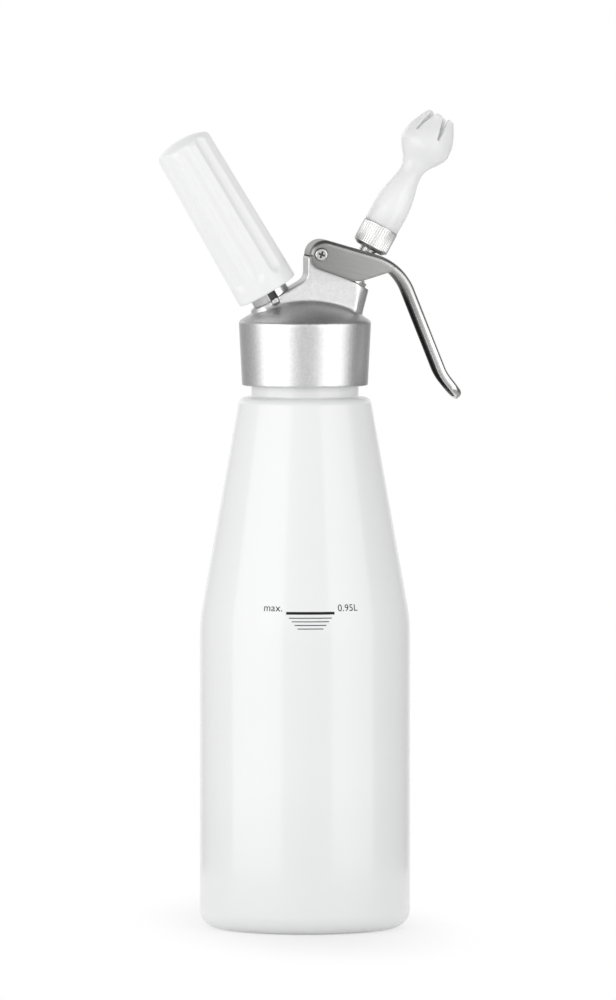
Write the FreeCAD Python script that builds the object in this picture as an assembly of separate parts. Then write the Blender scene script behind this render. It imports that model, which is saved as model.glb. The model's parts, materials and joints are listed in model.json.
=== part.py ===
"""Whipped cream dispenser: a lacquered bottle, a cast head, a charger holder and a lever valve.

Millimetres, +Z up. The origin is the centre of the bottle's base. The head's middle plane is
XZ: the charger holder leans towards -X, and the lever and the nozzle stand at +X.
"""
import FreeCAD, Part
import math
import os
from FreeCAD import Placement, Rotation, Vector

# ---------------------------------------------------------------- bottle
BOTTLE_R = 48.0            # outside radius of the barrel
BOTTLE_WALL = 1.6
BASE_CORNER_R = 8.2        # rounding from the barrel into the base
BASE_RING_R = 37.0         # inside edge of the ring that the bottle stands on
BASE_DOME_R = 27.0         # flat middle of the base, pushed inwards
BASE_DOME_RISE = 6.0
BARREL_Z = 140.6           # where the barrel's side would meet the cone's side
SHOULDER_BEND_R = 75.0
CONE_ANGLE = 10.1          # degrees that the bottle's cone leans in
SHELF_Z = 242.4            # flat shoulder under the collar
SHELF_ROUND_R = 3.6
NECK_R = 24.5
NECK_WALL = 2.3
NECK_ROOT_R = 1.2
NECK_THREAD_R = 26.2       # crests of the neck's thread
NECK_THREAD_Z = 250.0
NECK_THREAD_LENGTH = 12.5
NECK_THREAD_CHAMFER = 0.8
NECK_EDGE_R = 0.8
MOUTH_Z = 264.5

# ---------------------------------------------------------------- fits
RUNNING_FIT = 0.05         # radial gap of parts that turn or slide in each other
SCREWED_FIT = 0.03         # radial gap of parts that are screwed or pressed together
BEYOND = 200.0             # reach of a cutter that only has to pass the whole head

# ---------------------------------------------------------------- head: collar and dome
COLLAR_BOTTOM_Z = 247.8
COLLAR_TOP_Z = 277.0
COLLAR_BOTTOM_R = 28.7
COLLAR_TOP_R = 30.2
COLLAR_EDGE_R = 1.8
DOME_RISE = 9.45           # height of the dome that closes the collar
GASKET_THICKNESS = 2.5
GASKET_WIDTH = 4.2
CHAMBER_R = 21.5           # hollow above the bottle's mouth
CHAMBER_DEPTH = 5.0
THREAD_LEAD_IN = 1.8         # widening at the collar's lower edge

# ---------------------------------------------------------------- head: body between the bosses
BODY_TOP_HALF = 8.7        # half thickness of the body beside the turret's top
BODY_DRAFT = 0.06          # growth of the half thickness for each mm further down
EAR_HALF = 8.7             # half thickness of the ear that carries the lever
EAR_LEFT_X = 0.2
EAR_STEP_Z = 306.7         # shoulder that the lever's rolled end rests over
EAR_NOSE_X = 7.7
EAR_NOSE_Z = 307.0
EAR_NOSE_R = 4.9
EAR_FOOT_X = 14.0
EAR_FOOT_R = 1.2
EAR_STEP_R = 0.5
EAR_ROOT_R = 5.0           # hollow between the charger's seat and the ear
DOME_ROOT_R = 2.5          # hollow between the body's flanks and the dome
BODY_SINK = 3.0            # how far the body reaches below the collar's top edge

# ---------------------------------------------------------------- valve axis, seen from point K
VALVE_LEAN = 29.0          # degrees from upright, towards +X
VALVE_K_X = 30.1           # where the axis meets the knurled coupling's lower edge
VALVE_K_RISE = 34.1        # the same point above the collar's upper edge
TURRET_TOP_S = -17.9       # places along the axis are counted from K
TURRET_TOP_R = 8.9
TURRET_FLARE = 0.255       # growth of the turret's radius for each mm further down
TURRET_DEPTH = 25.0
SEAT_S = -47.0             # rubber valve's seat inside the head
SEAT_BOSS_R = 11.0
SEAT_RECESS_R = 9.5
SEAT_BOSS_HEIGHT = 14.0
SEAT_BOSS_SINK = 4.0       # how far the boss reaches into the chamber's ceiling
SEAT_BOSS_DROP = 6.0       # how far it may hang below the gasket's top
STEM_R = 4.0
STEM_TOP_S = 7.0
STEM_BORE_R = 2.4
STEM_END_R = 2.5           # threaded end that carries the rubber valve
STEM_PORT_R = 1.8
STEM_CHANNEL_R = 5.6       # hollow round the stem above the seat
STEM_CHANNEL_LENGTH = 9.0
GLAND_FLANGE_R = 7.0
GLAND_FLANGE_HEIGHT = 1.7
GLAND_SHANK_R = 6.0
GLAND_SHANK_LENGTH = 6.0
O_RING_WIRE_R = 0.95
VALVE_WASHER_R = 7.5
VALVE_WASHER_HEIGHT = 3.0
FOOT_NUT_R = 5.2           # over the corners
FOOT_NUT_HEIGHT = 4.0

# ---------------------------------------------------------------- lever
PIVOT_X = 6.0
PIVOT_Z = 307.7
LEVER_SHEET = 1.5
LEVER_INNER_HALF = 9.3     # half the clear width between the lever's cheeks
LEVER_BACK_HEIGHT = 7.1    # lever's back above the pivot, square to the back
LEVER_SLOPE = 16.4         # degrees that the back falls towards +X
LEVER_NOSE_R = 7.0
LEVER_NOSE_SHIFT = 1.9     # nose's centre past the pivot
LEVER_BEND_X = 44.3        # where the lines of the back and the handle meet
LEVER_BEND_R = 27.0
HANDLE_SLOPE = 21.8        # degrees that the handle leans from upright
HANDLE_DEPTH = 4.2         # depth of the handle's channel
HANDLE_TIP_Z = 253.3       # where the handle turns outwards
TIP_SLOPE = 39.0
TIP_LENGTH = 12.5
TIP_BEND_R = 20.0
TIP_CORNER_R = 7.0         # seen square to the tip
CHEEK_NOSE_DROP = 4.76     # from the rolled end down to the corner of the cheek's nose
CHEEK_BELLY_X = 22.6       # lowest corner of the cheek
CHEEK_BELLY_Z = 294.75
CHEEK_BELLY_R = 11.0
CHEEK_HEEL_X = 39.2        # where the cheek runs into the handle
CHEEK_HEEL_Z = 299.9
LEVER_EDGE_R = 2.4         # rounding along the lever's back
CHEEK_HEEL_RISE = 1.6      # how far the cheek's end reaches into the handle's wall
LEVER_PRESS = 12.0         # degrees of travel
SLOT_CLEARANCE = 0.6

# ---------------------------------------------------------------- pivot
SLEEVE_R = 2.4
SLEEVE_HEAD_R = 3.2
SLEEVE_HEAD_HEIGHT = 1.0
PIVOT_SHANK_R = 1.5
PIVOT_SHANK_LENGTH = 9.0
PIVOT_HEAD_R = 2.85
PIVOT_HEAD_HEIGHT = 1.1
CROSS_WIDTH = 0.9
CROSS_LENGTH = 3.2
CROSS_DEPTH = 0.7
CROSS_TURN = 20.0

# ---------------------------------------------------------------- spring and its cap
CAP_R = 6.8
CAP_CROWN_R = 12.0
CAP_RIM = 1.4
CAP_LEVER_GAP = 0.15
SPRING_WIRE_R = 0.45
SPRING_R = 5.3
SPRING_TURNS = 4.0
SPRING_SEAT_GAP = 0.02
SPRING_POINTS = 12         # points of the coil's curve in each turn

# ---------------------------------------------------------------- nozzle
COUPLING_R = 8.35
COUPLING_HEIGHT = 10.3
COUPLING_SKIRT_R = 6.4
COUPLING_SKIRT_HEIGHT = 1.4
NOZZLE_SEAL_HEIGHT = 1.2
NOZZLE_BORE_R = 3.0
SPIGOT_R = 5.5
SPIGOT_HEIGHT = 6.0
TIP_FOOT_R = 8.2
TIP_BELLY_R = 8.36
TIP_BELLY_S = 18.0
TIP_GRIP_R = 7.16
TIP_GRIP_S = 28.5
TIP_NECK_R = 5.73
TIP_NECK_S = 41.0
TULIP_FLOOR_S = 43.0       # where the tip's bore opens into the tulip
TULIP_FLARE_R = 8.3
TULIP_FLARE_S = 45.8
TULIP_R = 11.45
TULIP_S = 52.0
TULIP_LEAN_R = 9.35
TULIP_LEAN_S = 62.7
TULIP_MOUTH_R = 6.9
TULIP_WALL = 1.7
TULIP_END_S = 68.1
PETALS = 6
PETAL_SLIT_TURN = 12.9     # degrees that a slit is turned from -Y
PETAL_SLIT_S = 56.5
PETAL_SLIT_TOP = 3.2       # width at the petals' tips
PETAL_SLIT_ROOT = 1.0

# ---------------------------------------------------------------- charger axis, seen from point H
CHARGER_LEAN = 30.5        # degrees from upright, towards -X
CHARGER_H_X = -17.3        # centre of the holder's mouth
CHARGER_H_RISE = 14.0      # the same point above the collar's upper edge
POST_SEAT_T = -4.0         # places along the axis are counted from H
BOSS_R = 11.2
BOSS_FLARE = 0.12
BOSS_DEPTH = 12.0
POST_R = 9.0
POST_THREAD_R = 9.95
POST_THREAD_T = 1.0
POST_TOP_T = 12.5
POST_SHANK_R = 6.0
POST_SHANK_LENGTH = 10.0
VENT_SLOT_WIDTH = 3.6
VENT_SLOT_R = 6.6          # floor of the vent slots
BOSS_NOTCH_DEPTH = 2.6
NECK_POCKET_R = 4.85
NECK_POCKET_DEPTH = 4.2
PIN_GASKET_HEIGHT = 2.0
PIN_R = 0.9
PIN_BASE_R = 3.0
PIN_BASE_HEIGHT = 3.3
PIN_REACH = 1.9            # how far the pin stands into the charger
GAS_BORE_R = 1.2

# ---------------------------------------------------------------- charger and its holder
CHARGER_R = 8.95
CHARGER_LENGTH = 65.5
CHARGER_WALL = 1.6
CHARGER_NECK_R = 4.2
CHARGER_NECK_LENGTH = 5.0
CHARGER_SHOULDER_LENGTH = 11.0
SEAL_CAP_WALL = 0.35
SEAL_CAP_LENGTH = 3.6
PIERCED_R = 1.3
HOLDER_MOUTH_R = 14.5
HOLDER_TOP_R = 13.2
HOLDER_LENGTH = 79.5
HOLDER_CROWN = 2.75
HOLDER_CROWN_R = 24.0
HOLDER_TOP_EDGE_R = 2.8
HOLDER_MOUTH_EDGE_R = 0.8
HOLDER_BORE_R = 9.4
HOLDER_THREAD_LENGTH = 13.5
HOLDER_END_GAP = 0.2       # left between the charger and the holder's end
FLUTES = 9
FLUTE_ANGLE = 26.0         # degrees of the circumference that a flute takes
FLUTE_TURN = -98.0         # degrees from +X to the first flute
FLUTE_DEPTH = 1.15
FLUTE_START = 6.3          # plain skirt below the flutes

# ---------------------------------------------------------------- check valve
CHECK_X = -10.5
CHECK_SHANK_R = 2.5
CHECK_SHANK_LENGTH = 5.0
CHECK_FLANGE_R = 4.4
CHECK_FLANGE_HEIGHT = 1.6
CHECK_NIPPLE_R = 2.2
CHECK_NIPPLE_LENGTH = 7.6
CHECK_SLEEVE_WALL = 1.3
CHECK_BORE_R = 0.8
CHECK_PORT_R = 0.6

# ================================================================ outlines


def unit(dx, dz):
    """A direction of length 1."""
    length = math.hypot(dx, dz)
    return dx / length, dz / length


def chain(corners):
    """Edges in the XZ plane along corners (x, z, radius): runs joined by tangent arcs."""
    edges = []
    start = corners[0][:2]
    for before, (x, z, radius), after in zip(corners, corners[1:], corners[2:]):
        ax, az = unit(before[0] - x, before[1] - z)
        bx, bz = unit(after[0] - x, after[1] - z)
        half = math.acos(max(-1.0, min(1.0, ax * bx + az * bz))) / 2
        if radius == 0:
            edges.append(line(start, (x, z)))
            start = (x, z)
            continue
        back = radius / math.tan(half)
        mx, mz = unit(ax + bx, az + bz)
        reach = radius / math.sin(half) - radius
        first = (x + ax * back, z + az * back)
        last = (x + bx * back, z + bz * back)
        if math.dist(start, first) > 1e-6:
            edges.append(line(start, first))
        middle = (x + mx * reach, z + mz * reach)
        edges.append(Part.Arc(point(*first), point(*middle), point(*last)).toShape())
        start = last
    if math.dist(start, corners[-1][:2]) > 1e-6:
        edges.append(line(start, corners[-1][:2]))
    return edges


def point(x, z):
    """A point of the XZ plane."""
    return Vector(x, 0, z)


def line(start, end):
    """A straight edge in the XZ plane."""
    return Part.makeLine(point(*start), point(*end))


def beside(corners, distance):
    """The corners of a parallel chain, `distance` to the left of its direction of travel."""
    normals = []
    for (x0, z0, _), (x1, z1, _) in zip(corners, corners[1:]):
        dx, dz = unit(x1 - x0, z1 - z0)
        normals.append((-dz, dx))
    moved = [shifted(corners[0], normals[0], distance)]
    for (x, z, radius), n0, n1 in zip(corners[1:], normals, normals[1:]):
        spread = 1 + n0[0] * n1[0] + n0[1] * n1[1]
        mitre = ((n0[0] + n1[0]) / spread, (n0[1] + n1[1]) / spread)
        turn = n0[0] * n1[1] - n0[1] * n1[0]
        grown = radius - distance if turn > 0 else radius + distance
        moved.append(shifted((x, z, max(grown, 0) if radius else 0), mitre, distance))
    moved.append(shifted(corners[-1], normals[-1], distance))
    return moved


def shifted(corner, direction, distance):
    """A corner moved along a direction."""
    x, z, radius = corner
    return x + direction[0] * distance, z + direction[1] * distance, radius


def loop_face(corners):
    """A face whose border is the closed chain of corners; the first and last are sharp."""
    return Part.Face(Part.Wire(chain(corners + [corners[0]])))


def turned(corners):
    """A solid of revolution about Z from a closed chain of corners (radius, z, rounding)."""
    return loop_face(corners).revolve(Vector(0, 0, 0), Vector(0, 0, 1), 360)


def tube(outer, inner, bottom, top):
    """A ring about Z."""
    return turned([(inner, bottom, 0), (outer, bottom, 0), (outer, top, 0), (inner, top, 0)])


def rod(radius, bottom, top):
    """A cylinder about Z."""
    return Part.makeCylinder(radius, top - bottom, Vector(0, 0, bottom))


def cone(bottom_r, top_r, bottom, top):
    """A truncated cone about Z."""
    return Part.makeCone(bottom_r, top_r, top - bottom, Vector(0, 0, bottom))


def plate(corners, half):
    """A plate across the XZ plane with the outline of a closed chain of corners."""
    face = loop_face(corners)
    face.translate(Vector(0, -half, 0))
    return face.extrude(Vector(0, 2 * half, 0))


def hexagon(radius, bottom, top):
    """A hexagonal prism about Z, with its radius over the corners."""
    corners = [
        Vector(radius * math.cos(math.radians(60 * i)), radius * math.sin(math.radians(60 * i)), bottom)
        for i in range(7)
    ]
    return Part.Face(Part.makePolygon(corners)).extrude(Vector(0, 0, top - bottom))


def across(radius, start, end):
    """A cylinder along Y through the origin."""
    return Part.makeCylinder(radius, end - start, Vector(0, start, 0), Vector(0, 1, 0))


# ================================================================ places

VALVE_K = Vector(VALVE_K_X, 0, COLLAR_TOP_Z + VALVE_K_RISE)
CHARGER_H = Vector(CHARGER_H_X, 0, COLLAR_TOP_Z + CHARGER_H_RISE)
VALVE_AXIS = Placement(VALVE_K, Rotation(Vector(0, 1, 0), VALVE_LEAN))
CHARGER_AXIS = Placement(CHARGER_H, Rotation(Vector(0, 1, 0), -CHARGER_LEAN))


def on(axis, shape):
    """A shape made about Z from the origin, moved to a leaning axis."""
    placed = shape.copy()
    placed.Placement = axis.multiply(placed.Placement)
    return placed


def along(axis, distance):
    """A point on a leaning axis."""
    return axis.multVec(Vector(0, 0, distance))


MOUTH_R = NECK_R - NECK_WALL
GASKET_TOP_Z = MOUTH_Z + GASKET_THICKNESS
COLLAR_BORE_R = NECK_THREAD_R + RUNNING_FIT
CHAMBER_Z = GASKET_TOP_Z + CHAMBER_DEPTH
LEVER_HALF = LEVER_INNER_HALF + LEVER_SHEET
GLAND_BOTTOM_S = TURRET_TOP_S - GLAND_SHANK_LENGTH
CHARGER_START_T = POST_TOP_T - NECK_POCKET_DEPTH + PIN_GASKET_HEIGHT
CHARGER_END_T = CHARGER_START_T + CHARGER_LENGTH
PIN_BASE_T = POST_TOP_T - NECK_POCKET_DEPTH


def lever_normal(press=0.0):
    """Directions square to the lever's back and along it, after a press in degrees."""
    slope = math.radians(LEVER_SLOPE + press)
    return (math.sin(slope), math.cos(slope)), (math.cos(slope), -math.sin(slope))


def lever_crossing(height, press=0.0):
    """Where the valve axis crosses a line `height` above the pivot: (along the axis, along the lever)."""
    up, forward = lever_normal(press)
    kx, kz = VALVE_K.x - PIVOT_X, VALVE_K.z - PIVOT_Z
    lean = math.radians(VALVE_LEAN)
    rise = math.sin(lean) * up[0] + math.cos(lean) * up[1]
    drift = math.sin(lean) * forward[0] + math.cos(lean) * forward[1]
    s = (height - kx * up[0] - kz * up[1]) / rise
    return s, kx * forward[0] + kz * forward[1] + s * drift


SLOT_HALF = STEM_R + SLOT_CLEARANCE
UNDERSIDE = LEVER_BACK_HEIGHT - LEVER_SHEET
CROWN_AT_SLOT_R = math.sqrt(CAP_CROWN_R**2 - SLOT_HALF**2)
CAP_CENTRE_S = lever_crossing(UNDERSIDE - CROWN_AT_SLOT_R)[0] - CAP_LEVER_GAP
CAP_RIM_S = CAP_CENTRE_S + math.sqrt(CAP_CROWN_R**2 - CAP_R**2)
SPRING_TOP_S = CAP_RIM_S - CAP_RIM
SPRING_BOTTOM_S = TURRET_TOP_S + GLAND_FLANGE_HEIGHT


# ================================================================ bottle


def bottle():
    """Deep-drawn bottle with a domed base, a long cone and a threaded neck."""
    lean = math.tan(math.radians(CONE_ANGLE))
    shelf_r = BOTTLE_R - (SHELF_Z - BARREL_Z) * lean
    skin = [
        (0, BASE_DOME_RISE, 0),
        (BASE_DOME_R, BASE_DOME_RISE, 8.0),
        (BASE_RING_R, 0, 2.5),
        (BOTTLE_R, 0, BASE_CORNER_R),
        (BOTTLE_R, BARREL_Z, SHOULDER_BEND_R),
        (shelf_r, SHELF_Z, SHELF_ROUND_R),
        (NECK_R, SHELF_Z, NECK_ROOT_R),
        (NECK_R, MOUTH_Z - 2, 0),
    ]
    inside = beside(skin, BOTTLE_WALL)
    edges = chain(skin) + [line(skin[-1][:2], inside[-1][:2])]
    edges += chain(inside[::-1]) + [line(inside[0][:2], skin[0][:2])]
    shell = Part.Face(Part.Wire(edges)).revolve(Vector(0, 0, 0), Vector(0, 0, 1), 360)
    neck_z = SHELF_Z + NECK_ROOT_R
    neck = turned([
        (NECK_R - NECK_WALL / 2, neck_z, 0),
        (NECK_R, neck_z + NECK_ROOT_R, 0),
        (NECK_R, MOUTH_Z, NECK_EDGE_R),
        (MOUTH_R, MOUTH_Z, NECK_EDGE_R),
        (MOUTH_R, neck_z, 0),
    ])
    thread_end_z = NECK_THREAD_Z + NECK_THREAD_LENGTH
    thread = turned([
        (NECK_R - NECK_EDGE_R, NECK_THREAD_Z, 0),
        (NECK_THREAD_R, NECK_THREAD_Z + NECK_THREAD_CHAMFER, 0),
        (NECK_THREAD_R, thread_end_z - NECK_THREAD_CHAMFER, 0),
        (NECK_R - NECK_EDGE_R, thread_end_z, 0),
    ])
    return shell.fuse([neck, thread]).removeSplitter()


def head_gasket():
    """Sealing ring between the bottle's mouth and the head."""
    outer = COLLAR_BORE_R - 0.15
    return turned([
        (outer - GASKET_WIDTH, MOUTH_Z, 0),
        (outer, MOUTH_Z, 0.5),
        (outer, GASKET_TOP_Z, 0.5),
        (outer - GASKET_WIDTH, GASKET_TOP_Z, 0.5),
    ])


# ================================================================ head


def dome_height(radius):
    """Height of the dome over the collar's edge, at a distance from the bottle's axis."""
    crown_r = (COLLAR_TOP_R**2 + DOME_RISE**2) / (2 * DOME_RISE)
    return COLLAR_TOP_Z + DOME_RISE - crown_r + math.sqrt(crown_r**2 - radius**2)


def collar():
    """Screwed collar with the dome that closes it."""
    half = COLLAR_TOP_R / 2
    skirt = Part.Wire([
        line((0, COLLAR_BOTTOM_Z), (COLLAR_BOTTOM_R, COLLAR_BOTTOM_Z)),
        line((COLLAR_BOTTOM_R, COLLAR_BOTTOM_Z), (COLLAR_TOP_R, COLLAR_TOP_Z)),
        Part.Arc(point(COLLAR_TOP_R, COLLAR_TOP_Z), point(half, dome_height(half)),
                 point(0, dome_height(0))).toShape(),
        line((0, dome_height(0)), (0, COLLAR_BOTTOM_Z)),
    ])
    solid = Part.Face(skirt).revolve(Vector(0, 0, 0), Vector(0, 0, 1), 360)
    return solid.makeFillet(COLLAR_EDGE_R, [ring_edge(solid, COLLAR_TOP_R, COLLAR_TOP_Z)])


def ring_edge(solid, radius, z):
    """The circular edge about Z with a given radius and height."""
    for edge in solid.Edges:
        circle = edge.Curve
        if isinstance(circle, Part.Circle) and abs(circle.Radius - radius) < 1e-4:
            if abs(circle.Center.z - z) < 1e-4:
                return edge
    raise ValueError(f"no circular edge of radius {radius} at {z}")


def flank_roots(solid):
    """The two edges where the body's flat flanks meet the dome: the dome's longest but its rim."""
    dome = next(f for f in solid.Faces if isinstance(f.Surface, Part.Sphere))
    return sorted(dome.Edges, key=lambda edge: edge.Length)[-3:-1]


def saddle():
    """Body between the two leaning axes, with the ear that carries the lever."""
    lean = math.radians(CHARGER_LEAN)
    seat = along(CHARGER_AXIS, POST_SEAT_T)
    turret = along(VALVE_AXIS, TURRET_TOP_S)
    floor = COLLAR_TOP_Z - BODY_SINK
    seat_at_ear = seat.z + (EAR_LEFT_X - seat.x) * math.tan(lean)
    fall = math.tan(math.radians(VALVE_LEAN))
    foot_z = turret.z + (turret.x - EAR_FOOT_X) * fall
    nose_left = EAR_NOSE_X - EAR_NOSE_R
    nose_right = EAR_NOSE_X + EAR_NOSE_R
    nose_top = EAR_NOSE_Z + EAR_NOSE_R
    return plate([
        (seat.x, seat.z, 0),
        (EAR_LEFT_X, seat_at_ear, EAR_ROOT_R),
        (EAR_LEFT_X, EAR_STEP_Z, EAR_STEP_R),
        (nose_left, EAR_STEP_Z, 0),
        (nose_left, nose_top, EAR_NOSE_R - RUNNING_FIT),
        (nose_right, nose_top, EAR_NOSE_R - RUNNING_FIT),
        (EAR_FOOT_X, foot_z, EAR_FOOT_R),
        (turret.x, turret.z, 0),
        (turret.x + (floor - turret.z) * fall, floor, 0),
        (seat.x - (floor - seat.z) * math.tan(lean), floor, 0),
    ], BEYOND)


def head_body():
    """Saddle, charger boss and turret, with drafted flanks."""
    turret = on(VALVE_AXIS, cone(
        TURRET_TOP_R + TURRET_FLARE * TURRET_DEPTH, TURRET_TOP_R,
        TURRET_TOP_S - TURRET_DEPTH, TURRET_TOP_S))
    boss = on(CHARGER_AXIS, cone(
        BOSS_R + BOSS_FLARE * BOSS_DEPTH, BOSS_R,
        POST_SEAT_T - BOSS_DEPTH, POST_SEAT_T))
    whole = saddle().fuse([turret, boss])
    turret_z = along(VALVE_AXIS, TURRET_TOP_S).z
    floor = COLLAR_TOP_Z - BODY_SINK
    low_half = BODY_TOP_HALF + BODY_DRAFT * (turret_z - floor)
    ceiling = EAR_NOSE_Z + 2 * EAR_NOSE_R
    flanks = Part.Face(Part.makePolygon([
        Vector(0, -low_half, floor), Vector(0, low_half, floor),
        Vector(0, BODY_TOP_HALF, turret_z), Vector(0, EAR_HALF, ceiling),
        Vector(0, -EAR_HALF, ceiling), Vector(0, -BODY_TOP_HALF, turret_z),
        Vector(0, -low_half, floor),
    ]))
    flanks.translate(Vector(-BEYOND, 0, 0))
    return whole.common(flanks.extrude(Vector(2 * BEYOND, 0, 0))).removeSplitter()


def head_casting():
    """Cast head: collar, dome, charger boss, ear and valve turret, bored for what it holds."""
    body = head_body()
    cap = collar()
    whole = cap.fuse(body).removeSplitter()
    whole = whole.makeFillet(DOME_ROOT_R, flank_roots(whole))
    thread = turned([
        (0, COLLAR_BOTTOM_Z - 1, 0),
        (COLLAR_BORE_R + THREAD_LEAD_IN, COLLAR_BOTTOM_Z - 1, 0),
        (COLLAR_BORE_R, COLLAR_BOTTOM_Z + THREAD_LEAD_IN / 2, 0),
        (COLLAR_BORE_R, GASKET_TOP_Z, 0),
        (CHAMBER_R, GASKET_TOP_Z, 0),
        (CHAMBER_R, CHAMBER_Z, 2.5),
        (0, CHAMBER_Z, 0),
    ])
    whole = whole.cut(thread)
    seat_boss = on(VALVE_AXIS, rod(SEAT_BOSS_R, SEAT_S, SEAT_S + SEAT_BOSS_HEIGHT))
    room = rod(CHAMBER_R + 1, GASKET_TOP_Z - SEAT_BOSS_DROP, CHAMBER_Z + SEAT_BOSS_SINK)
    whole = whole.fuse(seat_boss.common(room))
    holes = [
        on(VALVE_AXIS, rod(SEAT_RECESS_R, SEAT_S - SEAT_BOSS_HEIGHT, SEAT_S)),
        on(VALVE_AXIS, rod(STEM_CHANNEL_R, SEAT_S - 1, SEAT_S + STEM_CHANNEL_LENGTH)),
        on(VALVE_AXIS, rod(STEM_R + RUNNING_FIT, SEAT_S, TURRET_TOP_S + 1)),
        on(VALVE_AXIS, rod(GLAND_SHANK_R + SCREWED_FIT,
                           GLAND_BOTTOM_S - 2 * O_RING_WIRE_R - 0.1, TURRET_TOP_S + 1)),
        on(CHARGER_AXIS, rod(POST_SHANK_R + SCREWED_FIT,
                             POST_SEAT_T - POST_SHANK_LENGTH - 0.5, POST_SEAT_T + 1)),
        on(CHARGER_AXIS, vent_slots(POST_SEAT_T - BOSS_NOTCH_DEPTH, POST_SEAT_T + 1)),
        moved(rod(CHECK_SHANK_R + SCREWED_FIT, CHAMBER_Z - 1, CHAMBER_Z + CHECK_SHANK_LENGTH + 0.3),
              CHECK_X, 0),
        moved(rod(GAS_BORE_R, CHAMBER_Z, CHAMBER_Z + 10), CHECK_X, 0),
        moved(across(SLEEVE_R + RUNNING_FIT, -20, 20), PIVOT_X, PIVOT_Z),
    ]
    return whole.cut(holes).removeSplitter()


def moved(shape, x, z):
    """A shape moved in the XZ plane."""
    shape.translate(Vector(x, 0, z))
    return shape


def vent_slots(bottom, top):
    """The two gas vent slots at the post's front and back."""
    depth = 8.0
    slots = []
    for side in (-1, 1):
        y = VENT_SLOT_R if side > 0 else -VENT_SLOT_R - depth
        slots.append(Part.makeBox(VENT_SLOT_WIDTH, depth, top - bottom,
                                  Vector(-VENT_SLOT_WIDTH / 2, y, bottom)))
    return slots[0].fuse(slots[1])


# ================================================================ charger side


def charger_post():
    """Threaded post with two vent slots and a pocket for the charger's neck."""
    solid = turned([
        (GAS_BORE_R, POST_SEAT_T - POST_SHANK_LENGTH, 0),
        (POST_SHANK_R, POST_SEAT_T - POST_SHANK_LENGTH, 0.6),
        (POST_SHANK_R, POST_SEAT_T, 0),
        (POST_R, POST_SEAT_T, 0),
        (POST_R, POST_THREAD_T - 0.4, 0),
        (POST_THREAD_R, POST_THREAD_T + 0.4, 0),
        (POST_THREAD_R, POST_TOP_T - 1.0, 0),
        (POST_THREAD_R - 1.0, POST_TOP_T, 0),
        (NECK_POCKET_R, POST_TOP_T, 0),
        (NECK_POCKET_R, PIN_BASE_T, 0),
        (PIN_BASE_R + SCREWED_FIT, PIN_BASE_T, 0),
        (PIN_BASE_R + SCREWED_FIT, PIN_BASE_T - PIN_BASE_HEIGHT, 0),
        (GAS_BORE_R, PIN_BASE_T - PIN_BASE_HEIGHT, 0),
    ])
    return on(CHARGER_AXIS, solid.cut(vent_slots(POST_SEAT_T, POST_TOP_T + 1)))


def piercing_pin():
    """Hollow steel pin that pierces the charger."""
    tip = CHARGER_START_T + PIN_REACH
    return on(CHARGER_AXIS, turned([
        (0.35, PIN_BASE_T - PIN_BASE_HEIGHT, 0),
        (PIN_BASE_R, PIN_BASE_T - PIN_BASE_HEIGHT, 0),
        (PIN_BASE_R, PIN_BASE_T, 0),
        (PIN_R, PIN_BASE_T, 0),
        (PIN_R, tip - 1.0, 0),
        (0.45, tip, 0),
        (0.35, tip, 0),
    ]))


def pin_gasket():
    """Rubber disc that the charger's neck presses on."""
    return on(CHARGER_AXIS, tube(NECK_POCKET_R - 0.1, PIN_R + RUNNING_FIT,
                                 PIN_BASE_T, PIN_BASE_T + PIN_GASKET_HEIGHT))


def gas_charger():
    """Steel gas cartridge, neck down, with its neck pierced."""
    neck_end = CHARGER_START_T + CHARGER_NECK_LENGTH
    skin = [
        (PIERCED_R, CHARGER_START_T + SEAL_CAP_WALL, 0),
        (CHARGER_NECK_R, CHARGER_START_T + SEAL_CAP_WALL, 0.6),
        (CHARGER_NECK_R, neck_end, 2.5),
        (CHARGER_R, neck_end + CHARGER_SHOULDER_LENGTH / 2, 7.0),
        (CHARGER_R, CHARGER_END_T, 7.5),
        (0, CHARGER_END_T, 0),
    ]
    inside = [
        (0, CHARGER_END_T - CHARGER_WALL, 0),
        (CHARGER_R - CHARGER_WALL, CHARGER_END_T - CHARGER_WALL, 6.0),
        (CHARGER_R - CHARGER_WALL, neck_end + CHARGER_SHOULDER_LENGTH / 2 + 1, 5.0),
        (PIERCED_R, neck_end + 1.5, 0),
    ]
    return on(CHARGER_AXIS, turned(skin + inside))


def charger_seal_cap():
    """Thin steel cap crimped over the charger's neck, pierced in the middle."""
    inner = CHARGER_NECK_R + 0.02
    outer = inner + SEAL_CAP_WALL
    return on(CHARGER_AXIS, turned([
        (PIERCED_R, CHARGER_START_T, 0),
        (outer, CHARGER_START_T, 0.3),
        (outer, CHARGER_START_T + SEAL_CAP_LENGTH, 0),
        (inner, CHARGER_START_T + SEAL_CAP_LENGTH, 0),
        (inner, CHARGER_START_T + SEAL_CAP_WALL, 0),
        (PIERCED_R, CHARGER_START_T + SEAL_CAP_WALL, 0),
    ]))


def charger_holder():
    """Fluted plastic holder that screws over the charger and onto the post."""
    side_top = HOLDER_LENGTH - HOLDER_CROWN
    bore_end = CHARGER_END_T + HOLDER_END_GAP
    thread_r = POST_THREAD_R + RUNNING_FIT
    shell = turned([
        (thread_r + HOLDER_MOUTH_EDGE_R, 0, 0),
        (HOLDER_MOUTH_R, 0, HOLDER_MOUTH_EDGE_R),
        (HOLDER_TOP_R, side_top, HOLDER_TOP_EDGE_R),
        (HOLDER_TOP_R / 2, HOLDER_LENGTH, HOLDER_CROWN_R),
        (0, HOLDER_LENGTH, 0),
        (0, bore_end, 0),
        (HOLDER_BORE_R, bore_end, 5.5),
        (HOLDER_BORE_R, HOLDER_THREAD_LENGTH + 0.6, 0),
        (thread_r, HOLDER_THREAD_LENGTH, 0),
        (thread_r, HOLDER_MOUTH_EDGE_R, 0),
    ])
    return on(CHARGER_AXIS, shell.cut(flutes()).removeSplitter())


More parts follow.
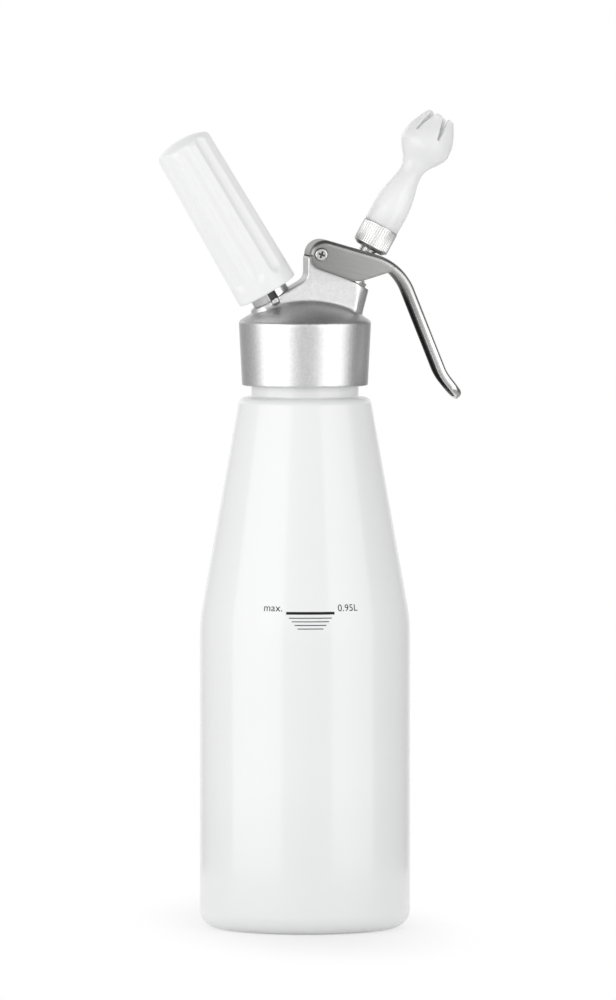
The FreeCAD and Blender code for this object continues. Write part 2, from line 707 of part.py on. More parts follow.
def flutes():
    """Cutters of the holder's shallow flutes, round at their lower ends, open at the top."""
    taper = math.atan((HOLDER_MOUTH_R - HOLDER_TOP_R) / (HOLDER_LENGTH - HOLDER_CROWN))
    start_r = HOLDER_MOUTH_R - FLUTE_START * math.tan(taper)
    half_chord = start_r * math.sin(math.radians(FLUTE_ANGLE / 2))
    cutter_r = (half_chord**2 + FLUTE_DEPTH**2) / (2 * FLUTE_DEPTH)
    centre_r = start_r - FLUTE_DEPTH + cutter_r
    bottom = FLUTE_START + half_chord
    rod_end = Part.makeSphere(cutter_r)
    cutter = Part.makeCylinder(cutter_r, HOLDER_LENGTH).fuse(rod_end)
    cutter.rotate(Vector(0, 0, 0), Vector(0, 1, 0), -math.degrees(taper))
    cutter.translate(Vector(centre_r, 0, bottom))
    cutters = []
    for i in range(FLUTES):
        copy = cutter.copy()
        copy.rotate(Vector(0, 0, 0), Vector(0, 0, 1), FLUTE_TURN + i * 360 / FLUTES)
        cutters.append(copy)
    return cutters


def check_valve_body():
    """Brass nipple in the chamber's ceiling that lets gas in but no cream out."""
    flange = hexagon(CHECK_FLANGE_R, CHAMBER_Z - CHECK_FLANGE_HEIGHT, CHAMBER_Z)
    shank = rod(CHECK_SHANK_R, CHAMBER_Z, CHAMBER_Z + CHECK_SHANK_LENGTH)
    bottom = CHAMBER_Z - CHECK_FLANGE_HEIGHT - CHECK_NIPPLE_LENGTH
    nipple = rod(CHECK_NIPPLE_R, bottom, CHAMBER_Z)
    bead = rod(CHECK_NIPPLE_R + CHECK_SLEEVE_WALL * 0.6, bottom, bottom + 0.8)
    gas = rod(CHECK_BORE_R, bottom + 2, CHAMBER_Z + CHECK_SHANK_LENGTH + 1)
    port = moved(across(CHECK_PORT_R, -5, 5), 0, bottom + 3.5)
    return moved(flange.fuse([shank, nipple, bead]).cut([gas, port]).removeSplitter(), CHECK_X, 0)


def check_valve_sleeve():
    """Rubber sleeve over the nipple's ports."""
    top = CHAMBER_Z - CHECK_FLANGE_HEIGHT - 0.1
    bottom = CHAMBER_Z - CHECK_FLANGE_HEIGHT - CHECK_NIPPLE_LENGTH + 0.9
    inner = CHECK_NIPPLE_R + SCREWED_FIT
    return moved(turned([
        (inner, bottom, 0),
        (inner + CHECK_SLEEVE_WALL, bottom, 0.4),
        (inner + CHECK_SLEEVE_WALL, top, 0.4),
        (inner, top, 0),
    ]), CHECK_X, 0)


# ================================================================ valve


def gland_nut():
    """Screwed gland that guides the stem and carries the spring."""
    flange = tube(GLAND_FLANGE_R, STEM_R + RUNNING_FIT, TURRET_TOP_S, SPRING_BOTTOM_S)
    shank = tube(GLAND_SHANK_R, STEM_R + RUNNING_FIT, GLAND_BOTTOM_S, TURRET_TOP_S)
    return on(VALVE_AXIS, flange.fuse(shank).removeSplitter())


def stem_o_ring():
    """Seal under the gland, round the stem."""
    ring = Part.makeTorus(STEM_R + RUNNING_FIT + O_RING_WIRE_R, O_RING_WIRE_R,
                          Vector(0, 0, GLAND_BOTTOM_S - O_RING_WIRE_R - 0.05))
    return on(VALVE_AXIS, ring)


def valve_stem():
    """Hollow stem: cream enters at its side ports and leaves at its top."""
    washer_bottom = SEAT_S - VALVE_WASHER_HEIGHT
    end = washer_bottom - FOOT_NUT_HEIGHT - 0.6
    solid = turned([
        (0, end, 0),
        (STEM_END_R, end, 0.5),
        (STEM_END_R, SEAT_S, 0),
        (STEM_R, SEAT_S, 0),
        (STEM_R, STEM_TOP_S, 0.4),
        (STEM_BORE_R, STEM_TOP_S, 0),
        (STEM_BORE_R, SEAT_S + 2.4, 0),
        (0, SEAT_S + 1.2, 0),
    ])
    ports = []
    for angle in (0, 90):
        port = moved(across(STEM_PORT_R, -6, 6), 0, SEAT_S + 4.6)
        port.rotate(Vector(0, 0, 0), Vector(0, 0, 1), angle)
        ports.append(port)
    return on(VALVE_AXIS, solid.cut(ports))


def valve_washer():
    """Rubber valve that closes on the seat from below."""
    return on(VALVE_AXIS, turned([
        (STEM_END_R + SCREWED_FIT, SEAT_S - VALVE_WASHER_HEIGHT, 0),
        (VALVE_WASHER_R, SEAT_S - VALVE_WASHER_HEIGHT, 0.6),
        (VALVE_WASHER_R, SEAT_S, 0),
        (STEM_END_R + SCREWED_FIT, SEAT_S, 0),
    ]))


def valve_foot_nut():
    """Nut that holds the rubber valve on the stem."""
    top = SEAT_S - VALVE_WASHER_HEIGHT
    nut = hexagon(FOOT_NUT_R, top - FOOT_NUT_HEIGHT, top)
    bore = rod(STEM_END_R + SCREWED_FIT, top - FOOT_NUT_HEIGHT - 1, top + 1)
    return on(VALVE_AXIS, nut.cut(bore))


def spring_cap():
    """Crowned collar on the stem that the lever pushes down."""
    ball = Part.makeSphere(CAP_CROWN_R, Vector(0, 0, CAP_CENTRE_S))
    blank = rod(CAP_R, SPRING_TOP_S, CAP_CENTRE_S + CAP_CROWN_R)
    bore = rod(STEM_R + SCREWED_FIT, SPRING_TOP_S - 1, CAP_CENTRE_S + CAP_CROWN_R + 1)
    return on(VALVE_AXIS, blank.common(ball).cut(bore))


def valve_spring():
    """Compression spring between the gland and the cap."""
    bottom = SPRING_BOTTOM_S + SPRING_WIRE_R + SPRING_SEAT_GAP
    top = SPRING_TOP_S - SPRING_WIRE_R - SPRING_SEAT_GAP
    count = round(SPRING_TURNS * SPRING_POINTS)
    points = []
    for i in range(count + 1):
        turn = 2 * math.pi * i / SPRING_POINTS
        points.append(Vector(SPRING_R * math.cos(turn), SPRING_R * math.sin(turn),
                             bottom + (top - bottom) * i / count))
    curve = Part.BSplineCurve()
    curve.interpolate(Points=points)
    path = curve.toShape()
    start = path.FirstParameter
    wire = Part.Wire(Part.makeCircle(SPRING_WIRE_R, path.valueAt(start), path.tangentAt(start)))
    return on(VALVE_AXIS, Part.Wire([path]).makePipeShell([wire], True, True))


# ================================================================ lever


def lever_path():
    """Corners along the lever's back, from its rolled rear end to its tip."""
    up, forward = lever_normal()
    slope = math.tan(math.radians(LEVER_SLOPE))
    nose_x = PIVOT_X + forward[0] * LEVER_NOSE_SHIFT
    nose_z = PIVOT_Z + forward[1] * LEVER_NOSE_SHIFT
    top_x, top_z = nose_x + up[0] * LEVER_BACK_HEIGHT, nose_z + up[1] * LEVER_BACK_HEIGHT
    rear_x = nose_x - LEVER_NOSE_R
    bend_z = top_z - (LEVER_BEND_X - top_x) * slope
    tip_x = LEVER_BEND_X + (bend_z - HANDLE_TIP_Z) * math.tan(math.radians(HANDLE_SLOPE))
    tip_lean = math.radians(TIP_SLOPE)
    return [
        (rear_x, nose_z, 0),
        (rear_x, top_z + (top_x - rear_x) * slope, LEVER_NOSE_R),
        (LEVER_BEND_X, bend_z, LEVER_BEND_R),
        (tip_x, HANDLE_TIP_Z, TIP_BEND_R),
        (tip_x + TIP_LENGTH * math.sin(tip_lean), HANDLE_TIP_Z - TIP_LENGTH * math.cos(tip_lean), 0),
    ]


def swept(half, outer_depth, inner_depth, corner_r):
    """Bar swept along the lever's back, with its two outer corners rounded."""
    path = lever_path()
    section = loop_face([
        (inner_depth, -half, 0),
        (outer_depth, -half, corner_r),
        (outer_depth, half, corner_r),
        (inner_depth, half, 0),
    ])
    section.rotate(Vector(0, 0, 0), Vector(1, 0, 0), -90)
    section.translate(point(*path[0][:2]))
    return Part.Wire(chain(path)).makePipeShell([section.OuterWire], True, False)


def tip_start():
    """Where the lever's tip becomes straight, seen from the end of its back, along the tip."""
    bend = TIP_BEND_R * math.tan(math.radians(TIP_SLOPE - HANDLE_SLOPE) / 2)
    return bend - TIP_LENGTH


def on_tip(shape):
    """A shape made with the tip's end at the origin, its back up and its length along X."""
    end = lever_path()[-1]
    shape.rotate(Vector(0, 0, 0), Vector(0, 1, 0), 90 - TIP_SLOPE)
    return moved(shape, end[0], end[1])


def tip_block(inset, depth, edge_r):
    """Straight end of the lever's tip, with round corners and a rounded rim."""
    half = LEVER_HALF - inset
    face = loop_face([
        (tip_start(), -half, 0), (-inset, -half, TIP_CORNER_R - inset),
        (-inset, half, TIP_CORNER_R - inset), (tip_start(), half, 0),
    ])
    face.rotate(Vector(0, 0, 0), Vector(1, 0, 0), 90)
    block = face.extrude(Vector(0, 0, inset - depth))
    block.translate(Vector(0, 0, -inset))
    rim = [e for e in block.Edges
           if abs(e.CenterOfMass.z + inset) < 1e-6 and e.CenterOfMass.x > tip_start() + 1e-6]
    return on_tip(block.makeFillet(edge_r, rim))


def before_tip():
    """Space that holds all of the lever but its tip."""
    corner = Vector(tip_start() - BEYOND, -BEYOND / 2, -BEYOND)
    return on_tip(Part.makeBox(BEYOND, BEYOND, 2 * BEYOND, corner))


def cheek(side):
    """One side plate of the lever's head, from its nose to the handle."""
    path = lever_path()
    nose = beside(path[:3], -LEVER_EDGE_R)
    free = [
        (path[0][0], path[0][1] - CHEEK_NOSE_DROP, LEVER_NOSE_R - 0.3),
        (CHEEK_BELLY_X, CHEEK_BELLY_Z, CHEEK_BELLY_R),
        (CHEEK_HEEL_X, CHEEK_HEEL_Z, 0),
    ]
    rear = (path[0][0], path[0][1], 0)
    outline = [rear, (nose[0][0], rear[1], 0), (nose[1][0], nose[1][1], LEVER_NOSE_R - LEVER_EDGE_R),
               (CHEEK_HEEL_X + 1, CHEEK_HEEL_Z + CHEEK_HEEL_RISE, 0)]
    sheet = loop_face(outline + free[::-1])
    start = LEVER_INNER_HALF if side > 0 else -LEVER_HALF
    sheet.translate(Vector(0, start, 0))
    return sheet.extrude(Vector(0, LEVER_SHEET, 0))


def lever():
    """Pressed steel lever: a channel with a rolled rear end, deep cheeks and a closed tip."""
    bar = swept(LEVER_HALF, 0, HANDLE_DEPTH, LEVER_EDGE_R).common(before_tip())
    bar = bar.fuse(tip_block(0, HANDLE_DEPTH, LEVER_EDGE_R))
    inner_r = LEVER_EDGE_R - LEVER_SHEET
    hollow = swept(LEVER_INNER_HALF, LEVER_SHEET, HANDLE_DEPTH + 1, inner_r).common(before_tip())
    hollow = hollow.fuse(tip_block(LEVER_SHEET, HANDLE_DEPTH + 1, inner_r))
    pivot_hole = moved(across(SLEEVE_R + SCREWED_FIT, -20, 20), PIVOT_X, PIVOT_Z)
    channel = bar.cut(hollow)
    return channel.fuse([cheek(-1), cheek(1)]).cut([stem_slot(), pivot_hole]).removeSplitter()


def stem_slot():
    """Oblong hole for the stem and the cap's crown, long enough for the lever's whole travel."""
    up, forward = lever_normal()
    _, far = lever_crossing(LEVER_BACK_HEIGHT - LEVER_SHEET / 2)
    _, near = lever_crossing(LEVER_BACK_HEIGHT - LEVER_SHEET / 2, LEVER_PRESS)
    near -= CAP_CROWN_R * math.sin(math.radians(VALVE_LEAN - LEVER_SLOPE))
    height = 8.0
    ends = []
    for reach in (near, far + 0.2):
        foot = Vector(PIVOT_X + forward[0] * reach + up[0] * 3, 0,
                      PIVOT_Z + forward[1] * reach + up[1] * 3)
        ends.append((foot, Part.makeCylinder(SLOT_HALF, height, foot, Vector(up[0], 0, up[1]))))
    box = Part.makeBox(far + 0.2 - near, 2 * SLOT_HALF, height)
    box.Placement = Placement(ends[0][0], Rotation(Vector(0, 1, 0), LEVER_SLOPE)).multiply(
        Placement(Vector(0, -SLOT_HALF, 0), Rotation()))
    return ends[0][1].fuse([ends[1][1], box])


def pivot_sleeve():
    """Sleeve nut that the lever turns on; its head is at the back."""
    body = across(SLEEVE_R, -LEVER_HALF, LEVER_HALF)
    head = across(SLEEVE_HEAD_R, LEVER_HALF, LEVER_HALF + SLEEVE_HEAD_HEIGHT)
    bore = across(PIVOT_SHANK_R + SCREWED_FIT, -LEVER_HALF - 1, -LEVER_HALF + PIVOT_SHANK_LENGTH + 1)
    return moved(body.fuse(head).cut(bore).removeSplitter(), PIVOT_X, PIVOT_Z)


def pivot_screw():
    """Cross-recessed screw that closes the sleeve at the front."""
    front = -LEVER_HALF
    head = across(PIVOT_HEAD_R, front - PIVOT_HEAD_HEIGHT, front)
    rim = [e for e in head.Edges if abs(e.CenterOfMass.y - front + PIVOT_HEAD_HEIGHT) < 1e-6]
    head = head.makeFillet(0.6, rim)
    shank = across(PIVOT_SHANK_R, front, front + PIVOT_SHANK_LENGTH)
    bars = []
    for w, h in ((CROSS_LENGTH, CROSS_WIDTH), (CROSS_WIDTH, CROSS_LENGTH)):
        bars.append(Part.makeBox(w, CROSS_DEPTH + 1, h,
                                 Vector(-w / 2, front - PIVOT_HEAD_HEIGHT - 1, -h / 2)))
    cross = bars[0].fuse(bars[1])
    cross.rotate(Vector(0, 0, 0), Vector(0, 1, 0), CROSS_TURN)
    return moved(head.fuse(shank).cut(cross).removeSplitter(), PIVOT_X, PIVOT_Z)


# ================================================================ nozzle


def nozzle_seal():
    """Washer between the stem's top and the coupling."""
    return on(VALVE_AXIS, tube(STEM_R - 0.1, STEM_BORE_R + 0.2,
                               STEM_TOP_S, STEM_TOP_S + NOZZLE_SEAL_HEIGHT))


def nozzle_coupling():
    """Knurled coupling that screws onto the stem and carries the tip."""
    thread_r = STEM_R + RUNNING_FIT
    shoulder = STEM_TOP_S + NOZZLE_SEAL_HEIGHT
    return on(VALVE_AXIS, turned([
        (thread_r + 0.5, -COUPLING_SKIRT_HEIGHT, 0),
        (COUPLING_SKIRT_R, -COUPLING_SKIRT_HEIGHT, 0),
        (COUPLING_R, 0, 0.3),
        (COUPLING_R, COUPLING_HEIGHT, 0.3),
        (SPIGOT_R, COUPLING_HEIGHT, 0),
        (SPIGOT_R, COUPLING_HEIGHT + SPIGOT_HEIGHT, 0.5),
        (NOZZLE_BORE_R, COUPLING_HEIGHT + SPIGOT_HEIGHT, 0),
        (NOZZLE_BORE_R, shoulder, 0),
        (thread_r, shoulder, 0),
        (thread_r, -COUPLING_SKIRT_HEIGHT + 0.5, 0),
    ]))


def spline(points, start=None, end=None):
    """A smooth edge through points (radius, z), with optional end directions."""
    curve = Part.BSplineCurve()
    vectors = [point(*p) for p in points]
    if start is None:
        curve.interpolate(vectors)
    else:
        curve.interpolate(Points=vectors, InitialTangent=point(*start), FinalTangent=point(*end))
    return curve.toShape()


def nozzle_tip():
    """Plastic decorating tip: a waisted handle and a tulip with six petals."""
    foot = (TIP_FOOT_R, COUPLING_HEIGHT)
    mouth_out = (TULIP_MOUTH_R, TULIP_END_S - 0.6)
    mouth_in = (TULIP_MOUTH_R - TULIP_WALL - 0.5, TULIP_END_S - 0.9)
    lip = (TULIP_MOUTH_R - TULIP_WALL, TULIP_END_S)
    outer = spline([
        foot, (TIP_BELLY_R, TIP_BELLY_S), (TIP_GRIP_R, TIP_GRIP_S), (TIP_NECK_R, TIP_NECK_S),
        (TULIP_FLARE_R, TULIP_FLARE_S), (TULIP_R, TULIP_S), (TULIP_LEAN_R, TULIP_LEAN_S), mouth_out,
    ], (0.02, 1), (-0.5, 1))
    inner = spline([
        mouth_in, (TULIP_LEAN_R - TULIP_WALL, TULIP_LEAN_S - 0.7), (TULIP_R - TULIP_WALL, TULIP_S + 1),
        (TULIP_FLARE_R - 2.1, TULIP_FLARE_S + 1), (NOZZLE_BORE_R, TULIP_FLOOR_S),
    ], (0.5, -1), (-0.4, -1))
    socket_r = SPIGOT_R + SCREWED_FIT
    socket_z = COUPLING_HEIGHT + SPIGOT_HEIGHT + 0.1
    edges = [
        outer,
        Part.Arc(point(*mouth_out), point(lip[0] + 0.6, lip[1]), point(*mouth_in)).toShape(),
        inner,
        line((NOZZLE_BORE_R, TULIP_FLOOR_S), (NOZZLE_BORE_R, socket_z)),
        line((NOZZLE_BORE_R, socket_z), (socket_r, socket_z)),
        line((socket_r, socket_z), (socket_r, COUPLING_HEIGHT)),
        line((socket_r, COUPLING_HEIGHT), foot),
    ]
    solid = Part.Face(Part.Wire(edges)).revolve(Vector(0, 0, 0), Vector(0, 0, 1), 360)
    return on(VALVE_AXIS, solid.cut(petal_slits()))


def petal_slits():
    """V-shaped slits with round roots, cut right through from side to side."""
    top = TULIP_END_S + 2
    root = PETAL_SLIT_ROOT / 2
    wide = PETAL_SLIT_TOP / 2 * (top - PETAL_SLIT_S) / (TULIP_END_S - PETAL_SLIT_S)
    wedge = plate([
        (0, top, 0), (-wide, top, 0), (-root, PETAL_SLIT_S, root * 0.9),
        (root, PETAL_SLIT_S, root * 0.9), (wide, top, 0),
    ], 20)
    slits = []
    for i in range(PETALS // 2):
        slit = wedge.copy()
        slit.rotate(Vector(0, 0, 0), Vector(0, 0, 1), PETAL_SLIT_TURN + i * 360 / PETALS)
        slits.append(slit)
    return slits


# ================================================================ build

PIECES = [
    bottle, head_gasket, head_casting,
    charger_post, piercing_pin, pin_gasket, gas_charger, charger_seal_cap, charger_holder,
    check_valve_body, check_valve_sleeve,
    gland_nut, stem_o_ring, valve_stem, valve_washer, valve_foot_nut, spring_cap, valve_spring,
    lever, pivot_sleeve, pivot_screw,
    nozzle_seal, nozzle_coupling, nozzle_tip,
]


def main():
    """Write each piece to parts/NAME.step."""
    os.makedirs("parts", exist_ok=True)
    for piece in PIECES:
        shape = piece()
        shape.exportStep(f"parts/{piece.__name__}.step")
        print(f"{piece.__name__:20s} solids {len(shape.Solids)} valid {shape.isValid()} "
              f"volume {shape.Volume:10.1f}")


if __name__ == "__main__":
    main()
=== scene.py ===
"""Looks of the whipped cream dispenser: its finishes, its fine shapes, the studio and the camera.

Sizes are written in millimetres and used in metres. The frame gives the places: the valve's
axis and the charger's axis are those of the joints that turn on them.
"""
import json
import math
from contextlib import contextmanager

import bmesh
import bpy
from mathutils import Matrix, Vector


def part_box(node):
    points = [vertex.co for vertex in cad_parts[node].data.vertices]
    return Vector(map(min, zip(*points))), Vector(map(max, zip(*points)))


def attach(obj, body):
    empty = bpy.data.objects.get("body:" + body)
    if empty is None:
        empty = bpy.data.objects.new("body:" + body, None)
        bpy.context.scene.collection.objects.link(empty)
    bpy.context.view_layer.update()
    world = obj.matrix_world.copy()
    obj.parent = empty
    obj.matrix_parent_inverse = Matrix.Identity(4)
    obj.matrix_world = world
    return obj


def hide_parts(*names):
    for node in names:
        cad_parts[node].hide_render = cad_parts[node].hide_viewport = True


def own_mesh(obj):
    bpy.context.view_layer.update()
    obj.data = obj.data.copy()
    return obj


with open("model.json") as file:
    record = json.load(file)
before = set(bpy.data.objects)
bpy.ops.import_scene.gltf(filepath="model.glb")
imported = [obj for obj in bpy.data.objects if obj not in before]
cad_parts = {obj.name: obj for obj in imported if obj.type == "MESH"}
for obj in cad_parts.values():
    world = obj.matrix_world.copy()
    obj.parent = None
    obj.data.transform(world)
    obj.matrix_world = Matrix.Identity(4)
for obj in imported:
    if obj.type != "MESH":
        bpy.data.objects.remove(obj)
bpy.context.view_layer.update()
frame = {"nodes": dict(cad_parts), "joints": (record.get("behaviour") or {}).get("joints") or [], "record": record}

MM = 0.001
RECORD = frame["record"]
JOINTS = {joint["name"]: joint for joint in frame["joints"]}
BODY_OF = {node: body for body, nodes in RECORD["behaviour"]["bodies"].items() for node in nodes}
SLOT_OF = {part["node"]: part["material_slot"] for part in RECORD["subparts"]}


def turning_axis(joint):
    """The place and tilt of a joint's axis: made about Z at the origin, a piece lands on it."""
    place = Vector(JOINTS[joint]["pos_m"])
    lean = Vector((0, 0, 1)).rotation_difference(Vector(JOINTS[joint]["axis"]))
    return Matrix.Translation(place) @ lean.to_matrix().to_4x4()


VALVE_AXIS = turning_axis("nozzle_turn")
CHARGER_AXIS = turning_axis("holder_turn")

# ================================================================ sizes, mm and degrees

# fill mark
PRINT_TURN = -4.95          # degrees that it is turned from -Y
PRINT_LEVEL_Z = 147.3       # the fill level, just over the thick bar
PRINT_LIFT = 0.03           # how far the ink stands off the lacquer
PRINT_THICKNESS = 0.03
BARS, BAR_PITCH = 5, 1.62
BAR_LENGTH, BAR_SHORTENING = 22.6, 2.7
THICK_BAR, THIN_BAR = 1.2, 0.38
BAR_POINTS = 25             # along each bar, so that it follows the bottle's round
THICK_BAR_RISE = 0.58       # of the thick bar's middle over its place in the row
ROW_DROP = 1.28             # of that place under the fill level
WORD_RISE = 0.1             # of the words' feet over the fill level
# each piece of writing, with its left end and the size of its letters
WORDS = {"fill_max": ("max.", -22.4, 4.7), "fill_litres": ("0.95L", 13.0, 4.35)}
LETTER_SPACING = 1.06

# bottle
BARREL_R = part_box("bottle")[1].x / MM
BASE_DOME_R, BASE_DOME_RISE = 27.0, 6.0
BASE_RING_R = 37.0
BASE_CORNER_R = 8.2
SHELF_R, SHELF_Z = 29.87, 242.4
BEND_Z = 140.6              # where the barrel's side would meet the cone's side
SHOULDER_BEND_R = 75.0
CONE_SLOPE = (BARREL_R - SHELF_R) / (SHELF_Z - BEND_Z)
BEND_REACH = SHOULDER_BEND_R * math.tan(math.atan(CONE_SLOPE) / 2)
BEND_START_Z = BEND_Z - BEND_REACH
BEND_END_Z = BEND_Z + BEND_REACH * math.cos(math.atan(CONE_SLOPE))
NECK_R, NECK_THREAD_R, MOUTH_R = 24.5, 26.2, 22.2
NECK_ROOT_R = NECK_R + 0.01
MOUTH_Z = 264.5
NECK_THREAD_Z, NECK_THREAD_END_Z, NECK_PITCH = 250.0, 262.5, 3.0
NECK_THREAD_RAMP = 0.8      # height over which the thread's ends run in and out
BOTTLE_WALL = 1.6

# every thread
THREAD_FLANK = (0.25, 0.75)         # from the crest's middle, 0, to the groove's, 1

# lever and its screw
LEVER_INNER_HALF = 9.3      # half the clear width between the cheeks
LEVER_LEAN = 16.4           # tilt of the cheeks' brushing
HANDLE_BLEND_Z = (284.0, 300.0)     # where the cheeks run out into the handle
HANDLE_POLISH_Z = (262.0, 290.0)    # where its polish is full, and where it starts
BACK_LIGHTENING_X = (-5.0, 40.0)          # along which the lever brightens
SCREW_FACE_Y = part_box("pivot_screw")[0].y / MM
# painted shade on the screw's rim and in its cross
SCREW_SHADE_DEPTHS = (0.12, 0.45)          # depths between which the screw turns dark

# charger post, along the charger's axis from the holder's mouth
POST_ROOT_R, POST_PITCH = 9.2, 1.5
POST_THREAD_START, POST_THREAD_END = 1.4, 11.5
# painted shade in the post's vent slots
POST_SLOT_SHADE = (1.2, 0.3)        # depths under the thread's root where a slot is dark, and bright

# charger holder, along the charger's axis from the holder's mouth
HOLDER_MOUTH_R, HOLDER_TOP_R = 14.5, 13.2
HOLDER_LENGTH, HOLDER_SIDE = 79.5, 76.75
HOLDER_THREAD_R, HOLDER_BORE_R, HOLDER_BORE_END = 10.0, 9.4, 76.0
HOLDER_THREAD_LENGTH = 13.5
HOLDER_SKIN_SHARE = 1.06    # of the thread's radius: only what lies outside it is fluted
FLUTES, FLUTE_TURN, FLUTE_HALF, FLUTE_DEPTH = 9, -98.0, 13.0, 1.20
FLUTE_START = 6.3
FLUTE_EDGE = 0.0015         # softness of a flute's edge, in squared shares of its depth
FLUTE_BLEND = 0.06          # rounding where a flute runs out into the skin

# nozzle coupling and valve stem, along the valve's axis from the coupling's lower edge
COUPLING_R, COUPLING_HEIGHT = 8.35, 10.3
COUPLING_SKIRT_R, COUPLING_SKIRT = 6.4, 1.4
COUPLING_SHOULDER = 8.2     # where the stem's bore ends
COUPLING_LIP = 0.5          # length of the wider mouth of that bore
SKIRT_CLEARANCE, BORE_CLEARANCE = 0.55, 0.05
SPIGOT_R, SPIGOT_HEIGHT, NOZZLE_BORE_R = 5.5, 6.0, 3.0
KNURLS, KNURL_DEPTH, KNURL_SHARE = 46, 0.26, 0.5
KNURL_MARGIN = 0.6          # plain band at each end of the knurl
KNURL_RINGS = (0.5, 0.8)            # rings of points on the two sides of that band's edge
STEM_R, STEM_BORE_R, STEM_TOP = 4.0, 2.4, 7.0
STEM_ROOT_R, STEM_PITCH = 3.5, 1.0
STEM_THREAD_START = -8.0
STEM_THREAD_INSET = (0.3, 0.5)      # plain length at the thread's two ends
STEM_OVERLAP = 0.02         # by which the threaded length reaches into the lower one
SPRING_FOOT, SPRING_LENGTH = -16.2, 8.6
SPRING_SPARE = 0.05         # by which the spring is pressed further than the valve moves
VALVE_STROKE = next(joint["range_m"][1] for joint in RECORD["behaviour"]["joints"]
                    if joint["name"] == "valve_stroke") / MM

# nozzle tip, along the same axis
TIP_BALL_START, TIP_BALL_LENGTH, TIP_BALL_R = 41.5, 14.0, 10.0
TIP_SWELL = 0.5             # how much fuller the ball is at its middle
TIP_SHORTENING = 0.04       # share taken off the length above the ball

# meshes
MERGING = 0.0001            # mm within which two points are one
FLAT_ANGLE = 0.4            # degrees under which neighbouring faces count as one
BROKEN_ANGLE = 35.0         # degrees over which an edge is broken
SKIN = 0.1                  # mm within which a point lies on a turned piece's skin
ARC_SAG = 0.004             # mm that an arc's chords may stand off it
ARC_STEP, SMALL_ARC_STEP = 9.0, 15.0    # degrees that they may turn by, at most
# the width in mm of each broken edge
BEVELS = {"gland_nut": 0.12, "valve_foot_nut": 0.1, "check_valve_body": 0.1, "spring_cap": 0.12,
          "pivot_screw": 0.06}
# the size in mm of the small even faces, and the rounds of easing
SOFTENED = {"head_casting": (0.5, 6), "lever": (0.31, 9)}
EASED = {"charger_post": (0.22, 10), "nozzle_tip": (0.28, 8)}
# the faces round each turned piece, and the mm between the points where its outline is divided
BOTTLE_FACES, BOTTLE_SPACING = 192, 0.4
HOLDER_FACES, HOLDER_SPACING = 360, 0.8
STEM_FACES, STEM_SPACING = 96, 0.08
COUPLING_FACES = KNURLS * 12

# ================================================================ node graphs


class Term:
    """An output of a node graph that takes part in ordinary arithmetic."""

    def __init__(self, graph, socket):
        self.graph = graph
        self.socket = socket

    def math(self, operation, *others):
        return self.graph.node("ShaderNodeMath", [self, *others], operation=operation)

    def __add__(self, other):
        return self.math("ADD", other)

    __radd__ = __add__

    def __sub__(self, other):
        return self.math("SUBTRACT", other)

    def __rsub__(self, other):
        return (self * -1) + other

    def __mul__(self, other):
        return self.math("MULTIPLY", other)

    __rmul__ = __mul__

    def __truediv__(self, other):
        return self.math("DIVIDE", other)

    def __pow__(self, other):
        return self.math("POWER", other)

    def sin(self):
        return self.math("SINE")

    def cos(self):
        return self.math("COSINE")

    def root(self):
        return self.math("SQRT")

    def over(self, other):
        return self.math("MAXIMUM", other)

    def under(self, other):
        return self.math("MINIMUM", other)

    def step(self, start, end):
        """0 before start, 1 after end, smooth in between."""
        return self.graph.node("ShaderNodeMapRange", [self, start, end, 0.0, 1.0],
                               interpolation_type="SMOOTHSTEP")

    def out(self, name):
        return Term(self.graph, self.socket.node.outputs[name])


class Graph:
    """Writes nodes into a material, a world or a geometry tree."""

    def __init__(self, tree):
        self.tree = tree

    def node(self, kind, inputs=(), output=0, **settings):
        """A node with its settings first, then the values or links of its sockets."""
        made = self.tree.nodes.new(kind)
        for name, value in settings.items():
            setattr(made, name, value)
        pairs = inputs.items() if isinstance(inputs, dict) else enumerate(inputs)
        for key, value in pairs:
            self.feed(made.inputs[key], value)
        return Term(self, made.outputs[output] if made.outputs else None)

    def feed(self, socket, value):
        if isinstance(value, Term):
            self.tree.links.new(value.socket, socket)
        elif value is not None:
            socket.default_value = value

    def mix(self, share, first, second):
        """Between two colours."""
        made = self.tree.nodes.new("ShaderNodeMix")
        made.data_type = "RGBA"
        for key, value in (("Factor_Float", share), ("A_Color", first), ("B_Color", second)):
            self.feed(next(s for s in made.inputs if s.identifier == key), value)
        return Term(self, next(s for s in made.outputs if s.identifier == "Result_Color"))

    def noise(self, place, scale, detail=2.0, roughness=0.5):
        """Cloudy noise between 0 and 1; scale is in waves for each metre."""
        return self.node("ShaderNodeTexNoise", {
            "Vector": place, "Scale": scale, "Detail": detail, "Roughness": roughness})

    def stretched(self, place, scale, turn):
        """The place with another scale along each axis, after a turn."""
        return self.node("ShaderNodeMapping", {
            "Vector": place, "Rotation": turn, "Scale": scale}, vector_type="TEXTURE")

    def bump(self, height, distance):
        """Relief whose full height is the distance, in metres."""
        return self.node("ShaderNodeBump", {"Height": height, "Distance": distance})


def grey(level):
    return (level, level, level, 1.0)


def blend_of(limits):
    """Limits in millimetres as the start and end of a step in metres."""
    return [limit * MM for limit in limits]


def finish(name, varied, **fixed):
    """A material: the shader's own values, and a recipe for what varies over the surface."""
    material = bpy.data.materials.new(name)
    material.use_nodes = True
    tree = material.node_tree
    tree.nodes.clear()
    graph = Graph(tree)
    place = graph.node("ShaderNodeTexCoord", output="Object")
    inputs = {key.replace("_", " "): value for key, value in fixed.items()}
    shader = graph.node("ShaderNodeBsdfPrincipled", {**inputs, **varied(graph, place)})
    graph.node("ShaderNodeOutputMaterial", {"Surface": shader})
    return material


# ================================================================ finishes


